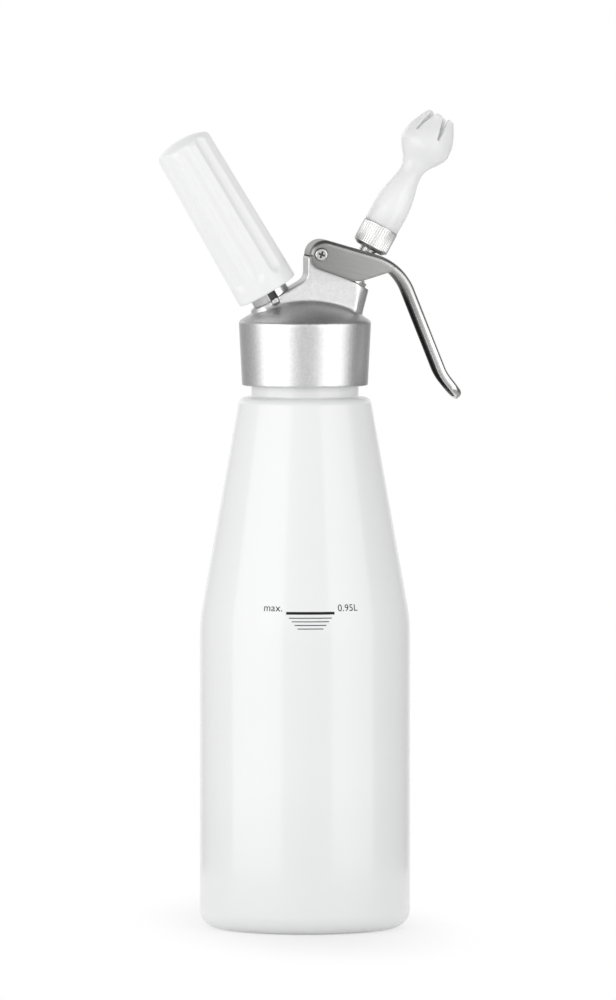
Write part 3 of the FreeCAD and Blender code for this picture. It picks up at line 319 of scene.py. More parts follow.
def lacquer():
    """White lacquer: a faint orange peel under a clear, softly shining coat."""
    def varied(graph, place):
        peel = graph.noise(place, 260.0, 1.0)
        cloud = graph.noise(place, 14.0, 2.0)
        return {
            "Base Color": graph.mix(cloud, (0.872, 0.875, 0.878, 1), (0.886, 0.888, 0.890, 1)),
            "Roughness": 0.36 + cloud * 0.05,
            "Normal": graph.bump(peel, 0.000004),
        }
    return finish("white_lacquer", varied, Coat_Weight=0.55, Coat_Roughness=0.10)


def cast_aluminium():
    """Satin tumbled casting: a fine sparkle of bright and dull grains."""
    def varied(graph, place):
        fine, coarse = graph.noise(place, 1300.0, 3.0, 0.7), graph.noise(place, 600.0, 2.0)
        grain = fine * 0.65 + coarse * 0.35
        cloud = graph.noise(place, 60.0, 3.0)
        return {
            "Base Color": graph.mix(grain, grey(0.54), grey(0.94)),
            "Roughness": 0.32 + grain * 0.14 + cloud * 0.04,
            "Normal": graph.bump(grain, 0.00005),
        }
    return finish("cast_aluminium", varied, Metallic=1.0)


def lever_steel():
    """Pressed steel: brushed along the back and the cheeks, polished on the handle; painted shade darkens the
    inner faces of the handle's channel.
    """
    def varied(graph, place):
        spot = graph.node("ShaderNodeSeparateXYZ", [place])
        handle = 1.0 - spot.out("Z").step(*blend_of(HANDLE_BLEND_Z))
        polished = 1.0 - spot.out("Z").step(*blend_of(HANDLE_POLISH_Z))
        # the lever is made lighter towards +X, outside its polished handle
        lighter_along_x = spot.out("X").step(*blend_of(BACK_LIGHTENING_X))
        along = graph.stretched(place, (30.0, 1.0, 1.0), (0.0, math.radians(LEVER_LEAN), 0.0))
        brushed = graph.noise(along, 3000.0, 3.0, 0.6)
        cloud = graph.noise(place, 90.0, 2.0)
        normal = graph.node("ShaderNodeNewGeometry", output="Normal")
        facing = graph.node("ShaderNodeSeparateXYZ", [normal]).out("Y")
        inwards = facing * spot.out("Y") * (-1 / (LEVER_INNER_HALF * MM))
        # painted shade: the handle channel's inner faces, turned towards the lever's middle, are made near black
        inside = inwards.step(0.3, 0.8) * handle
        outer = graph.mix(brushed * 0.4 + lighter_along_x * 0.6, (0.24, 0.24, 0.237, 1), (0.50, 0.50, 0.495, 1))
        outer = graph.mix(polished, outer, (0.66, 0.66, 0.655, 1))
        return {
            "Base Color": graph.mix(inside, outer, grey(0.07)),
            "Roughness": (0.30 + brushed * 0.08) * (1.0 - handle) + (0.20 + cloud * 0.06) * handle,
            "Normal": graph.bump(brushed * (1.0 - handle), 0.000012),
        }
    return finish("lever_steel", varied, Metallic=1.0)


def plated(name, tone, roughness):
    """A plated or machined metal with a faint haze of wear."""
    def varied(graph, place):
        cloud = graph.noise(place, 2400.0, 3.0)
        dark, light = (channel * 0.94 for channel in tone), (channel * 1.03 for channel in tone)
        return {
            "Base Color": graph.mix(cloud, (*dark, 1), (*light, 1)),
            "Roughness": roughness * (0.8 + cloud * 0.4),
            "Normal": graph.bump(cloud, 0.0000008),
        }
    return finish(name, varied, Metallic=1.0)


def vented_post():
    """Satin plated post, with painted shade down in its vent slots."""
    foot, along = CHARGER_AXIS.translation, CHARGER_AXIS.to_3x3() @ Vector((0, 0, 1))

    def varied(graph, place):
        cloud = graph.noise(place, 2400.0, 3.0)
        spot = graph.node("ShaderNodeSeparateXYZ", [place])
        right, up = spot.out("X") - foot.x, spot.out("Z") - foot.z
        height = right * along.x + up * along.z
        radius = (right ** 2 + spot.out("Y") ** 2 + up ** 2 - height ** 2).root()
        # painted shade: the vent slots are made dark below the thread's root
        slot = 1.0 - radius.step(*blend_of(POST_ROOT_R - depth for depth in POST_SLOT_SHADE))
        skin = graph.mix(cloud, (0.66, 0.66, 0.655, 1), (0.76, 0.76, 0.755, 1))
        return {
            "Base Color": graph.mix(slot, skin, grey(0.09)),
            "Roughness": 0.24 + cloud * 0.10,
            "Normal": graph.bump(cloud, 0.000002),
        }
    return finish("satin_plate", varied, Metallic=1.0)


def screw_head():
    """Bright screw face, with painted shade down its rim and in its cross."""
    def varied(graph, place):
        cloud = graph.noise(place, 1500.0, 3.0)
        depth = graph.node("ShaderNodeSeparateXYZ", [place]).out("Y") - SCREW_FACE_Y * MM
        # painted shade: the screw darkens with depth down its rim and in its cross
        painted_recess_shade = depth.step(*blend_of(SCREW_SHADE_DEPTHS))
        return {
            "Base Color": graph.mix(painted_recess_shade, (0.66, 0.66, 0.655, 1), grey(0.10)),
            "Roughness": 0.20 + cloud * 0.10 + painted_recess_shade * 0.2,
            "Normal": graph.bump(cloud, 0.000004),
        }
    return finish("screw_steel", varied, Metallic=1.0)


def plastic(name, tone, roughness, **fixed):
    """Moulded white plastic with a fine skin."""
    def varied(graph, place):
        skin = graph.noise(place, 900.0, 2.0)
        cloud = graph.noise(place, 40.0, 2.0)
        dark, light = (channel * 0.985 for channel in tone), tone
        return {
            "Base Color": graph.mix(cloud, (*dark, 1), (*light, 1)),
            "Roughness": roughness + skin * 0.05,
            "Normal": graph.bump(skin, 0.000004),
        }
    return finish(name, varied, IOR=1.49, **fixed)


def silicone():
    """Milky silicone rubber with a dull skin."""
    def varied(graph, place):
        skin = graph.noise(place, 1500.0, 2.0)
        return {
            "Base Color": graph.mix(skin, (0.68, 0.68, 0.66, 1), (0.76, 0.76, 0.74, 1)),
            "Roughness": 0.5 + skin * 0.15,
            "Normal": graph.bump(skin, 0.000006),
        }
    return finish("silicone", varied, IOR=1.41)


def ink():
    """Dark grey screen print with a slightly uneven film."""
    def varied(graph, place):
        film = graph.noise(place, 2500.0, 2.0)
        return {
            "Base Color": graph.mix(film, (0.004, 0.004, 0.005, 1), (0.009, 0.009, 0.010, 1)),
            "Roughness": 0.30 + film * 0.15,
        }
    return finish("print_ink", varied, IOR=1.3)


FINISHES = {
    "lacquer": lacquer(),
    "silicone": silicone(),
    "cast_aluminium": cast_aluminium(),
    "chromed_brass": plated("chromed_brass", (0.80, 0.80, 0.80), 0.24),
    "steel": plated("steel", (0.60, 0.60, 0.60), 0.18),
    "zinc_steel": plated("zinc_steel", (0.60, 0.61, 0.63), 0.30),
    "white_plastic": plastic("white_plastic", (0.91, 0.912, 0.915), 0.26),
    "brass": plated("brass", (0.80, 0.60, 0.30), 0.25),
    "brass_nickel": plated("brass_nickel", (0.74, 0.74, 0.72), 0.16),
    "lever_steel": lever_steel(),
    "nickel_knurl": plated("nickel_knurl", (0.84, 0.84, 0.83), 0.34),
    "tip_plastic": plastic("tip_plastic", (0.94, 0.942, 0.945), 0.14, Subsurface_Weight=0.6,
                           Subsurface_Radius=(1.0, 1.0, 1.0), Subsurface_Scale=0.007),
}
OWN_FINISHES = {"charger_post": vented_post(), "pivot_screw": screw_head()}
INK = ink()

# ================================================================ meshes


@contextmanager
def edited(mesh):
    """The mesh open for editing: what is done to it is kept in it."""
    grid = bmesh.new()
    grid.from_mesh(mesh)
    yield grid
    grid.to_mesh(mesh)
    grid.free()


def piece_of(name, mesh, material):
    """A linked object for a mesh, with its finish."""
    mesh.materials.clear()
    mesh.materials.append(material)
    piece = bpy.data.objects.new(name, mesh)
    bpy.context.scene.collection.objects.link(piece)
    return piece


def settled(piece):
    """The piece with its modifiers' result as its plain mesh."""
    graph = bpy.context.evaluated_depsgraph_get()
    mesh = bpy.data.meshes.new_from_object(piece.evaluated_get(graph), depsgraph=graph)
    piece.modifiers.clear()
    piece.data = mesh
    return piece


def smooth(mesh, angle=30.0):
    """Smooth shading, with edges sharper than the angle left sharp."""
    for face in mesh.polygons:
        face.use_smooth = True
    mesh.set_sharp_from_angle(angle=math.radians(angle))


def merged_copy(node):
    """A CAD node's mesh with its loose triangles joined."""
    mesh = bpy.data.meshes.new(node + "_shape")
    with edited(mesh) as grid:
        grid.from_mesh(frame["nodes"][node].data)
        bmesh.ops.remove_doubles(grid, verts=grid.verts, dist=MERGING * MM)
    return mesh


def seated(piece, node):
    """The piece stands for a CAD node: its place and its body."""
    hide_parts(node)
    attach(piece, BODY_OF[node])
    return piece


def finish_of(node):
    return OWN_FINISHES.get(node) or FINISHES[SLOT_OF[node]]


def dressed(node):
    """A CAD node with its finish and smooth shading."""
    piece = piece_of(node + "_shape", merged_copy(node), finish_of(node))
    smooth(piece.data)
    return seated(piece, node)


def bevelled(node, bevel):
    """A CAD node with its finish, smooth shading and broken edges."""
    mesh = merged_copy(node)
    with edited(mesh) as grid:
        bmesh.ops.dissolve_limit(grid, angle_limit=math.radians(FLAT_ANGLE), verts=grid.verts,
                                 edges=grid.edges)
    piece = piece_of(node + "_shape", mesh, finish_of(node))
    edge = piece.modifiers.new("broken_edges", "BEVEL")
    edge.width, edge.segments = bevel * MM, 2
    edge.limit_method, edge.angle_limit = "ANGLE", math.radians(BROKEN_ANGLE)
    edge.use_clamp_overlap = True
    settled(piece)
    smooth(piece.data)
    even = piece.modifiers.new("even_faces", "WEIGHTED_NORMAL")
    even.keep_sharp = True
    settled(piece)
    return seated(piece, node)


def eased(mesh, voxel, rounds):
    """The mesh remade in small even faces, with its edges rounded off."""
    piece = piece_of("eased", mesh, INK)
    even = piece.modifiers.new("even_faces", "REMESH")
    even.mode, even.voxel_size = "VOXEL", voxel * MM
    even.use_smooth_shade = True
    ease = piece.modifiers.new("eased_edges", "SMOOTH")
    ease.factor, ease.iterations = 0.5, rounds
    result = settled(piece).data
    bpy.data.objects.remove(piece)
    return result


def softened(node, voxel, rounds):
    """A CAD node with its finish, its edges rounded off and its hollows blended."""
    piece = piece_of(node + "_shape", eased(merged_copy(node), voxel, rounds), finish_of(node))
    smooth(piece.data, angle=50.0)
    return seated(piece, node)


def cut_above(mesh, height):
    """Takes off what the mesh has above a height, and closes it there."""
    with edited(mesh) as grid:
        cut = bmesh.ops.bisect_plane(
            grid, geom=[*grid.verts, *grid.edges, *grid.faces], plane_co=(0, 0, height * MM),
            plane_no=(0, 0, 1), clear_outer=True)
        rims = [part for part in cut["geom_cut"] if isinstance(part, bmesh.types.BMEdge)]
        bmesh.ops.triangle_fill(grid, edges=rims, use_beauty=True)
        bmesh.ops.recalc_face_normals(grid, faces=grid.faces)


def rounded(corners, step=ARC_STEP):
    """Points along corners (radius, height, rounding), with an arc at each rounding."""
    points = []
    count = len(corners)
    for index, (x, z, rounding) in enumerate(corners):
        here = Vector((x, z))
        if not rounding:
            points.append(here)
            continue
        before = (Vector(corners[index - 1][:2]) - here).normalized()
        after = (Vector(corners[(index + 1) % count][:2]) - here).normalized()
        half = before.angle(after) / 2
        centre = here + (before + after).normalized() * (rounding / math.sin(half))
        start = here + before * (rounding / math.tan(half)) - centre
        sweep = math.pi - 2 * half
        if start.cross(here - centre) < 0:
            sweep = -sweep
        widest = min(math.radians(step), 2 * math.acos(1 - ARC_SAG / rounding))
        turns = max(2, math.ceil(abs(sweep) / widest))
        points += [centre + Matrix.Rotation(sweep * k / turns, 2) @ start for k in range(turns + 1)]
    return points


def divided(points, spacing, bottom, top):
    """Outline points with more of them between two heights."""
    finer = []
    for start, end in zip(points, points[1:] + points[:1]):
        finer.append(start)
        low, high = sorted((start.y, end.y))
        if high > bottom and low < top:
            parts = max(1, round((end - start).length / spacing))
            finer += [start.lerp(end, k / parts) for k in range(1, parts)]
    return finer


def lathe(name, points, segments):
    """A closed outline of (radius, height) in mm turned about Z."""
    mesh = bpy.data.meshes.new(name)
    turns = [2 * math.pi * k / segments for k in range(segments)]
    with edited(mesh) as grid:
        rings = []
        for point in points:
            radius, height = max(point.x, 0.0) * MM, point.y * MM
            if radius < MERGING * MM:
                rings.append([grid.verts.new((0, 0, height))] * segments)
                continue
            rings.append([grid.verts.new((radius * math.cos(turn), radius * math.sin(turn), height))
                          for turn in turns])
        for low, high in zip(rings, rings[1:] + rings[:1]):
            for k in range(segments):
                after = (k + 1) % segments
                corners = list(dict.fromkeys([low[k], low[after], high[after], high[k]]))
                if len(corners) > 2:
                    grid.faces.new(corners)
        bmesh.ops.recalc_face_normals(grid, faces=grid.faces)
    return mesh


def joined(piece, mesh):
    """The piece with another mesh added to its own."""
    with edited(piece.data) as grid:
        grid.from_mesh(mesh)
    return piece


def placed(piece, axis, angle=30.0):
    """The piece's mesh moved onto an axis and shaded."""
    piece.data.transform(axis)
    smooth(piece.data, angle)
    return piece


def around(graph):
    """Radius, turn in degrees and height of each point about Z."""
    corner = graph.node("ShaderNodeSeparateXYZ", [graph.node("GeometryNodeInputPosition")])
    x, y = corner.out("X"), corner.out("Y")
    return (x ** 2 + y ** 2).root(), y.math("ARCTAN2", x) * (180 / math.pi), corner.out("Z")


def reshaped(graph, shape, radius, turn, height):
    """The shape with each point at a new radius, turn and height."""
    angle = turn * (math.pi / 180)
    place = graph.node("ShaderNodeCombineXYZ", [radius * angle.cos(), radius * angle.sin(), height])
    return graph.node("GeometryNodeSetPosition", {"Geometry": shape, "Position": place})


def threaded(graph, given):
    """A screw thread cut between two heights, from the crest that the shape has there."""
    radius, turn, height = around(graph)
    phase = height / given["Pitch"] - turn / 360.0
    wave = (phase - phase.math("FLOOR") - 0.5).math("ABSOLUTE") * 2.0
    groove = wave.step(*THREAD_FLANK)
    outside = (radius - given["Root"]).math("GREATER_THAN", 0.0)
    started, ended = (height.math("GREATER_THAN", given[end]) for end in ("Start", "End"))
    inside = started * (1.0 - ended)
    cut = (radius - given["Root"]) * groove * outside * inside
    return reshaped(graph, given["Geometry"], radius - cut, turn, height)


def grown(name, plan, material, start=None, **sizes):
    """A piece that a geometry tree grows from its named sizes."""
    tree = bpy.data.node_groups.new(name, "GeometryNodeTree")
    for way in ("INPUT", "OUTPUT"):
        tree.interface.new_socket("Geometry", in_out=way, socket_type="NodeSocketGeometry")
    places = {}
    for key, value in sizes.items():
        kind = "NodeSocketInt" if isinstance(value, int) else "NodeSocketFloat"
        places[key] = tree.interface.new_socket(key, in_out="INPUT", socket_type=kind).identifier
    graph = Graph(tree)
    given = graph.node("NodeGroupInput")
    sockets = {key: given.out(key) for key in ("Geometry", *sizes)}
    real = graph.node("GeometryNodeRealizeInstances", [plan(graph, sockets)])
    coated = graph.node("GeometryNodeSetMaterial", {"Geometry": real, "Material": material})
    graph.feed(tree.nodes.new("NodeGroupOutput").inputs[0], coated)
    piece = piece_of(name, start or bpy.data.meshes.new(name), material)
    tool = piece.modifiers.new(name, "NODES")
    tool.node_group = tree
    for key, identifier in places.items():
        tool[identifier] = sizes[key]
    return settled(piece)


# ================================================================ fill mark


def barrel_radius(height):
    """The bottle's radius at a height, as a term: barrel, bend, then cone."""
    rise = (height.under(BEND_END_Z * MM) - BEND_START_Z * MM).over(0.0)
    bend = SHOULDER_BEND_R * MM
    bent = (bend * bend - rise * rise).root() + (BARREL_R * MM - bend)
    return bent - (height - BEND_END_Z * MM).over(0.0) * CONE_SLOPE


def wrapped(graph, flat, turn, lift):
    """Flat print in the XZ plane, its outer side at -Y, wrapped round the barrel."""
    corner = graph.node("ShaderNodeSeparateXYZ", [graph.node("GeometryNodeInputPosition")])
    height = corner.out("Z")
    radius = barrel_radius(height) + lift - corner.out("Y")
    angle = corner.out("X") / (BARREL_R * MM) + turn
    place = graph.node("ShaderNodeCombineXYZ",
                       [radius * angle.sin(), radius * angle.cos() * -1.0, height])
    return graph.node("GeometryNodeSetPosition", {"Geometry": flat, "Position": place})


def fill_bars():
    """A thick bar at the fill level and thin ones below it, each shorter than the last."""
    def plan(graph, size):
        def upwards(height):
            return graph.node("ShaderNodeCombineXYZ", [0.0, 0.0, height])

        line = graph.node("GeometryNodeMeshLine", {
            "Count": size["Bars"], "Offset": upwards(size["Pitch"] * -1.0)})
        index = graph.node("GeometryNodeInputIndex")
        first = 1.0 - index.under(1.0)
        length = size["Length"] - index * size["Shortening"]
        height = size["Thin"] + first * (size["Thick"] - size["Thin"])
        bar = graph.node("GeometryNodeMeshCube", {
            "Size": (1.0, PRINT_THICKNESS * MM, 1.0), "Vertices X": BAR_POINTS})
        spread = graph.node("GeometryNodeSetPosition", {
            "Geometry": line, "Offset": upwards(first * size["Lead"])})
        bars = graph.node("GeometryNodeInstanceOnPoints", {
            "Points": spread, "Instance": bar,
            "Scale": graph.node("ShaderNodeCombineXYZ", [length, 1.0, height])})
        real = graph.node("GeometryNodeRealizeInstances", [bars])
        raised = graph.node("GeometryNodeTransform", {
            "Geometry": real, "Translation": upwards(size["Top"])})
        return wrapped(graph, raised, size["Turn"], size["Lift"])
    return grown("fill_bars", plan, INK, Bars=BARS, Pitch=BAR_PITCH * MM, Length=BAR_LENGTH * MM,
                 Shortening=BAR_SHORTENING * MM, Thick=THICK_BAR * MM, Thin=THIN_BAR * MM,
                 Lead=THICK_BAR_RISE * MM, Top=(PRINT_LEVEL_Z - ROW_DROP) * MM,
                 Turn=math.radians(PRINT_TURN), Lift=PRINT_LIFT * MM)


def flat_words(words, left, size):
    """Words as a thin closed mesh in the XZ plane, standing just over the fill level."""
    font = bpy.data.curves.new("words", "FONT")
    font.body, font.size, font.extrude = words, size * MM, PRINT_THICKNESS * MM / 2
    font.space_character = LETTER_SPACING
    holder = bpy.data.objects.new("words", font)
    bpy.context.scene.collection.objects.link(holder)
    graph = bpy.context.evaluated_depsgraph_get()
    mesh = bpy.data.meshes.new_from_object(holder.evaluated_get(graph), depsgraph=graph)
    bpy.data.objects.remove(holder)
    foot = Matrix.Translation((left * MM, 0, (PRINT_LEVEL_Z + WORD_RISE) * MM))
    mesh.transform(foot @ Matrix.Rotation(math.pi / 2, 4, "X"))
    return mesh


def fill_words(name, words, left, size):
    """Words beside the fill level, wrapped round the barrel."""
    def plan(graph, given):
        return wrapped(graph, given["Geometry"], given["Turn"], given["Lift"])
    return grown(name, plan, INK, flat_words(words, left, size),
                 Turn=math.radians(PRINT_TURN), Lift=PRINT_LIFT * MM)


def fill_mark():
    """The bars, with a word on each side of them."""
    for mark in [fill_bars()] + [fill_words(name, *row) for name, row in WORDS.items()]:
        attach(mark, "bottle")


# ================================================================ turned pieces


def bottle():
    """Deep-drawn bottle with a threaded neck."""
    skin = [
        (0, BASE_DOME_RISE, 0), (BASE_DOME_R, BASE_DOME_RISE, 8.0), (BASE_RING_R, 0, 2.5),
        (BARREL_R, 0, BASE_CORNER_R), (BARREL_R, BEND_Z, SHOULDER_BEND_R), (SHELF_R, SHELF_Z, 3.6),
        (NECK_R, SHELF_Z, 1.2), (NECK_R, NECK_THREAD_Z, 0),
        (NECK_THREAD_R, NECK_THREAD_Z + NECK_THREAD_RAMP, 0),
        (NECK_THREAD_R, NECK_THREAD_END_Z - NECK_THREAD_RAMP, 0), (NECK_R, NECK_THREAD_END_Z, 0),
        (NECK_R, MOUTH_Z, 0.8), (MOUTH_R, MOUTH_Z, 0.8),
        (MOUTH_R, SHELF_Z - BOTTLE_WALL, 1.2), (SHELF_R - BOTTLE_WALL, SHELF_Z - BOTTLE_WALL, 2.0),
        (BARREL_R - BOTTLE_WALL, BEND_Z, SHOULDER_BEND_R - BOTTLE_WALL),
        (BARREL_R - BOTTLE_WALL, BOTTLE_WALL, BASE_CORNER_R - BOTTLE_WALL),
        (BASE_RING_R, BOTTLE_WALL, 2.5), (BASE_DOME_R, BASE_DOME_RISE + BOTTLE_WALL, 8.0),
        (0, BASE_DOME_RISE + BOTTLE_WALL, 0),
    ]
    outline = divided(rounded(skin), BOTTLE_SPACING, NECK_THREAD_Z, NECK_THREAD_END_Z)
    piece = grown("bottle_shape", threaded, finish_of("bottle"),
                  lathe("bottle", outline, BOTTLE_FACES),
                  Pitch=NECK_PITCH * MM, Root=NECK_ROOT_R * MM,
                  Start=NECK_THREAD_Z * MM, End=NECK_THREAD_END_Z * MM)
    smooth(piece.data, angle=35.0)
    return seated(piece, "bottle")


def charger_holder():
    """Plastic holder with soft flutes that end round above its mouth."""
    def fluted(graph, given):
        radius, turn, height = around(graph)
        share = turn / given["Spacing"] - given["Turn"] / given["Spacing"]
        off = (share - share.math("ROUND")) * given["Spacing"] / given["Half"]
        end = ((given["Start"] - height) / given["Round"]).over(0.0)
        hollow = 1.0 - off ** 2 - end ** 2
        soft = (hollow + (hollow ** 2 + FLUTE_EDGE).root()) * 0.5
        side = given["Mouth"] - height * given["Taper"]
        floor_r = side - soft * given["Depth"]
        gap = floor_r - radius
        lowered = radius - ((gap ** 2 + (FLUTE_BLEND * MM) ** 2).root() - gap) * 0.5
        outer = radius.math("GREATER_THAN", HOLDER_THREAD_R * HOLDER_SKIN_SHARE * MM)
        return reshaped(graph, given["Geometry"], radius + (lowered - radius) * outer, turn, height)

    taper = (HOLDER_MOUTH_R - HOLDER_TOP_R) / HOLDER_SIDE
    start_r = HOLDER_MOUTH_R - FLUTE_START * taper
    half_chord = start_r * math.sin(math.radians(FLUTE_HALF))
    thread_r, chamfer = HOLDER_THREAD_R, 0.8
    shell = rounded([
        (thread_r + chamfer, 0, 0), (HOLDER_MOUTH_R, 0, 0.8), (HOLDER_TOP_R, HOLDER_SIDE, 2.8),
        (HOLDER_TOP_R / 2, HOLDER_LENGTH, 24.0), (0, HOLDER_LENGTH, 0), (0, HOLDER_BORE_END, 0),
        (HOLDER_BORE_R, HOLDER_BORE_END, 5.5), (HOLDER_BORE_R, HOLDER_THREAD_LENGTH + 0.6, 0),
        (thread_r, HOLDER_THREAD_LENGTH, 0), (thread_r, chamfer, 0),
    ])
    outline = divided(shell, HOLDER_SPACING, chamfer + 0.1, HOLDER_LENGTH)
    piece = grown("charger_holder_shape", fluted, finish_of("charger_holder"),
                  lathe("holder", outline, HOLDER_FACES),
                  Spacing=360.0 / FLUTES, Turn=FLUTE_TURN, Half=FLUTE_HALF, Depth=FLUTE_DEPTH * MM,
                  Start=(FLUTE_START + half_chord) * MM, Round=half_chord * MM,
                  Mouth=HOLDER_MOUTH_R * MM, Taper=taper)
    return seated(placed(piece, CHARGER_AXIS), "charger_holder")


def nozzle_coupling():
    """Nickel-plated coupling with a fine straight knurl."""
    def knurled(graph, given):
        radius, turn, height = around(graph)
        share = turn / given["Spacing"]
        ridge = ((share - share.math("ROUND")).math("ABSOLUTE") * (2.0 / KNURL_SHARE)).under(1.0)
        low, high = given["Margin"], given["Height"] - given["Margin"]
        band = height.math("GREATER_THAN", low) * (1.0 - height.math("GREATER_THAN", high))
        outer = radius.math("GREATER_THAN", given["Radius"] - SKIN * MM)
        cut = (1.0 - ridge ** 2) * given["Depth"] * band * outer
        return reshaped(graph, given["Geometry"], radius - cut, turn, height)

    near, far = KNURL_RINGS
    spigot_end = COUPLING_HEIGHT + SPIGOT_HEIGHT
    shell = rounded([
        (STEM_R + SKIRT_CLEARANCE, -COUPLING_SKIRT, 0), (COUPLING_SKIRT_R, -COUPLING_SKIRT, 0.2),
        (COUPLING_R, 0, 0.2), (COUPLING_R, near, 0), (COUPLING_R, far, 0),
        (COUPLING_R, COUPLING_HEIGHT - far, 0), (COUPLING_R, COUPLING_HEIGHT - near, 0),
        (COUPLING_R, COUPLING_HEIGHT, 0.3), (SPIGOT_R, COUPLING_HEIGHT, 0),
        (SPIGOT_R, spigot_end, 0.5), (NOZZLE_BORE_R, spigot_end, 0),
        (NOZZLE_BORE_R, COUPLING_SHOULDER, 0), (STEM_R + BORE_CLEARANCE, COUPLING_SHOULDER, 0),
        (STEM_R + BORE_CLEARANCE, COUPLING_LIP - COUPLING_SKIRT, 0),
    ], SMALL_ARC_STEP)
    piece = grown("nozzle_coupling_shape", knurled, finish_of("nozzle_coupling"),
                  lathe("coupling", shell, COUPLING_FACES), Spacing=360.0 / KNURLS,
                  Radius=COUPLING_R * MM, Depth=KNURL_DEPTH * MM, Height=COUPLING_HEIGHT * MM,
                  Margin=KNURL_MARGIN * MM)
    return seated(placed(piece, VALVE_AXIS, angle=40.0), "nozzle_coupling")


def valve_stem():
    """Stem whose upper length carries a fine thread; its lower length keeps its ports."""
    lower = merged_copy("valve_stem")
    lower.transform(VALVE_AXIS.inverted())
    cut_above(lower, STEM_THREAD_START)
    foot = STEM_THREAD_START - STEM_OVERLAP
    shell = rounded([
        (STEM_BORE_R, foot, 0), (STEM_R, foot, 0),
        (STEM_R, STEM_TOP, 0.4), (STEM_BORE_R, STEM_TOP, 0.2),
    ], SMALL_ARC_STEP)
    outline = divided(shell, STEM_SPACING, STEM_THREAD_START, STEM_TOP)
    below, above = STEM_THREAD_INSET
    upper = grown("valve_stem_thread", threaded, finish_of("valve_stem"),
                  lathe("stem", outline, STEM_FACES), Pitch=STEM_PITCH * MM, Root=STEM_ROOT_R * MM,
                  Start=(STEM_THREAD_START + below) * MM, End=(STEM_TOP - above) * MM)
    return seated(placed(joined(upper, lower), VALVE_AXIS), "valve_stem")


def charger_post():
    """Threaded post with its two vent slots."""
    shape = merged_copy("charger_post")
    shape.transform(CHARGER_AXIS.inverted())
    piece = grown("charger_post_shape", threaded, finish_of("charger_post"),
                  eased(shape, *EASED["charger_post"]), Pitch=POST_PITCH * MM, Root=POST_ROOT_R * MM,
                  Start=POST_THREAD_START * MM, End=POST_THREAD_END * MM)
    return seated(placed(piece, CHARGER_AXIS, angle=50.0), "charger_post")


def nozzle_tip():
    """Decorating tip: its ball is full towards the neck and its petals end softly."""
    def filled_out(graph, given):
        radius, turn, height = around(graph)
        share = ((height - given["Neck"]) / given["Length"]).over(0.0).under(1.0)
        swell = (share * (1.0 - share) * 4.0) ** 2 * given["Swell"]
        above = (height - given["Neck"] - given["Length"]).over(0.0) * given["Shortening"]
        fuller = radius + swell * (radius / given["Ball"])
        return reshaped(graph, given["Geometry"], fuller, turn, height - above)

    shape = merged_copy("nozzle_tip")
    shape.transform(VALVE_AXIS.inverted())
    piece = grown("nozzle_tip_shape", filled_out, finish_of("nozzle_tip"),
                  eased(shape, *EASED["nozzle_tip"]), Neck=TIP_BALL_START * MM,
                  Length=TIP_BALL_LENGTH * MM, Swell=TIP_SWELL * MM, Shortening=TIP_SHORTENING,
                  Ball=TIP_BALL_R * MM)
    return seated(placed(piece, VALVE_AXIS, angle=60.0), "nozzle_tip")


def valve_spring():
    """Coil with its finish and smooth shading, in a mesh of its own."""
    piece = dressed("valve_spring")
    foot = VALVE_AXIS @ Vector((0, 0, SPRING_FOOT * MM))
    axis = VALVE_AXIS.to_3x3() @ Vector((0, 0, 1))
    1 - (VALVE_STROKE + SPRING_SPARE) / SPRING_LENGTH
    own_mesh(piece)
    return piece


# ================================================================ pieces

OWN_SHAPES = {
    "bottle": bottle, "charger_holder": charger_holder, "nozzle_coupling": nozzle_coupling,
    "valve_stem": valve_stem, "charger_post": charger_post, "nozzle_tip": nozzle_tip,
    "valve_spring": valve_spring,
}

for node in frame["nodes"]:
    if node in OWN_SHAPES:
        OWN_SHAPES[node]()
    elif node in SOFTENED:
        softened(node, *SOFTENED[node])
    elif node in BEVELS:
        bevelled(node, BEVELS[node])
    else:
        dressed(node)
fill_mark()

# ================================================================ studio

# metres and degrees
CAMERA_AZIMUTH = -8.0135    # from -Y towards -X
CAMERA_PLACE = Vector((-0.8044, -5.7238, 0.530))
CAMERA_TILT = 3.314
LENS, SENSOR = 456.84, 36.0
FAR_END = 50.0
SOFTBOX_AIM = Vector((0.0, 0.0, 0.19))
SOFTBOX_DISTANCE, SOFTBOX_RISE = 2.2, 8.0
SOFTBOX_HEIGHT, SOFTBOX_LEVEL = 2.2, 1.68
FLOOR_R = 0.3
FLOOR_GLOW = 0.50           # share of pure white in the floor under the object
SHADOW_FADE = (0.02, 0.21)  # from the origin, between which the floor turns white
SHADOW_NARROWING = 2.6      # from side to side, against its depth


def softbox(name, azimuth, width):
    """A large soft lamp; its azimuth is counted to the right of the camera."""
    turn = math.radians(CAMERA_AZIMUTH + azimuth)
    rise = math.radians(SOFTBOX_RISE)
    way = Vector((math.sin(turn) * math.cos(rise), -math.cos(turn) * math.cos(rise), math.sin(rise)))
    lamp = bpy.data.lights.new(name, "AREA")
    lamp.shape, lamp.size, lamp.size_y = "RECTANGLE", width, SOFTBOX_HEIGHT
    lamp.energy = SOFTBOX_LEVEL * math.pi * width * SOFTBOX_HEIGHT
    holder = bpy.data.objects.new(name, lamp)
    holder.location = SOFTBOX_AIM + way * SOFTBOX_DISTANCE
    holder.rotation_euler = (-way).to_track_quat("-Z", "Y").to_euler()
    bpy.context.scene.collection.objects.link(holder)


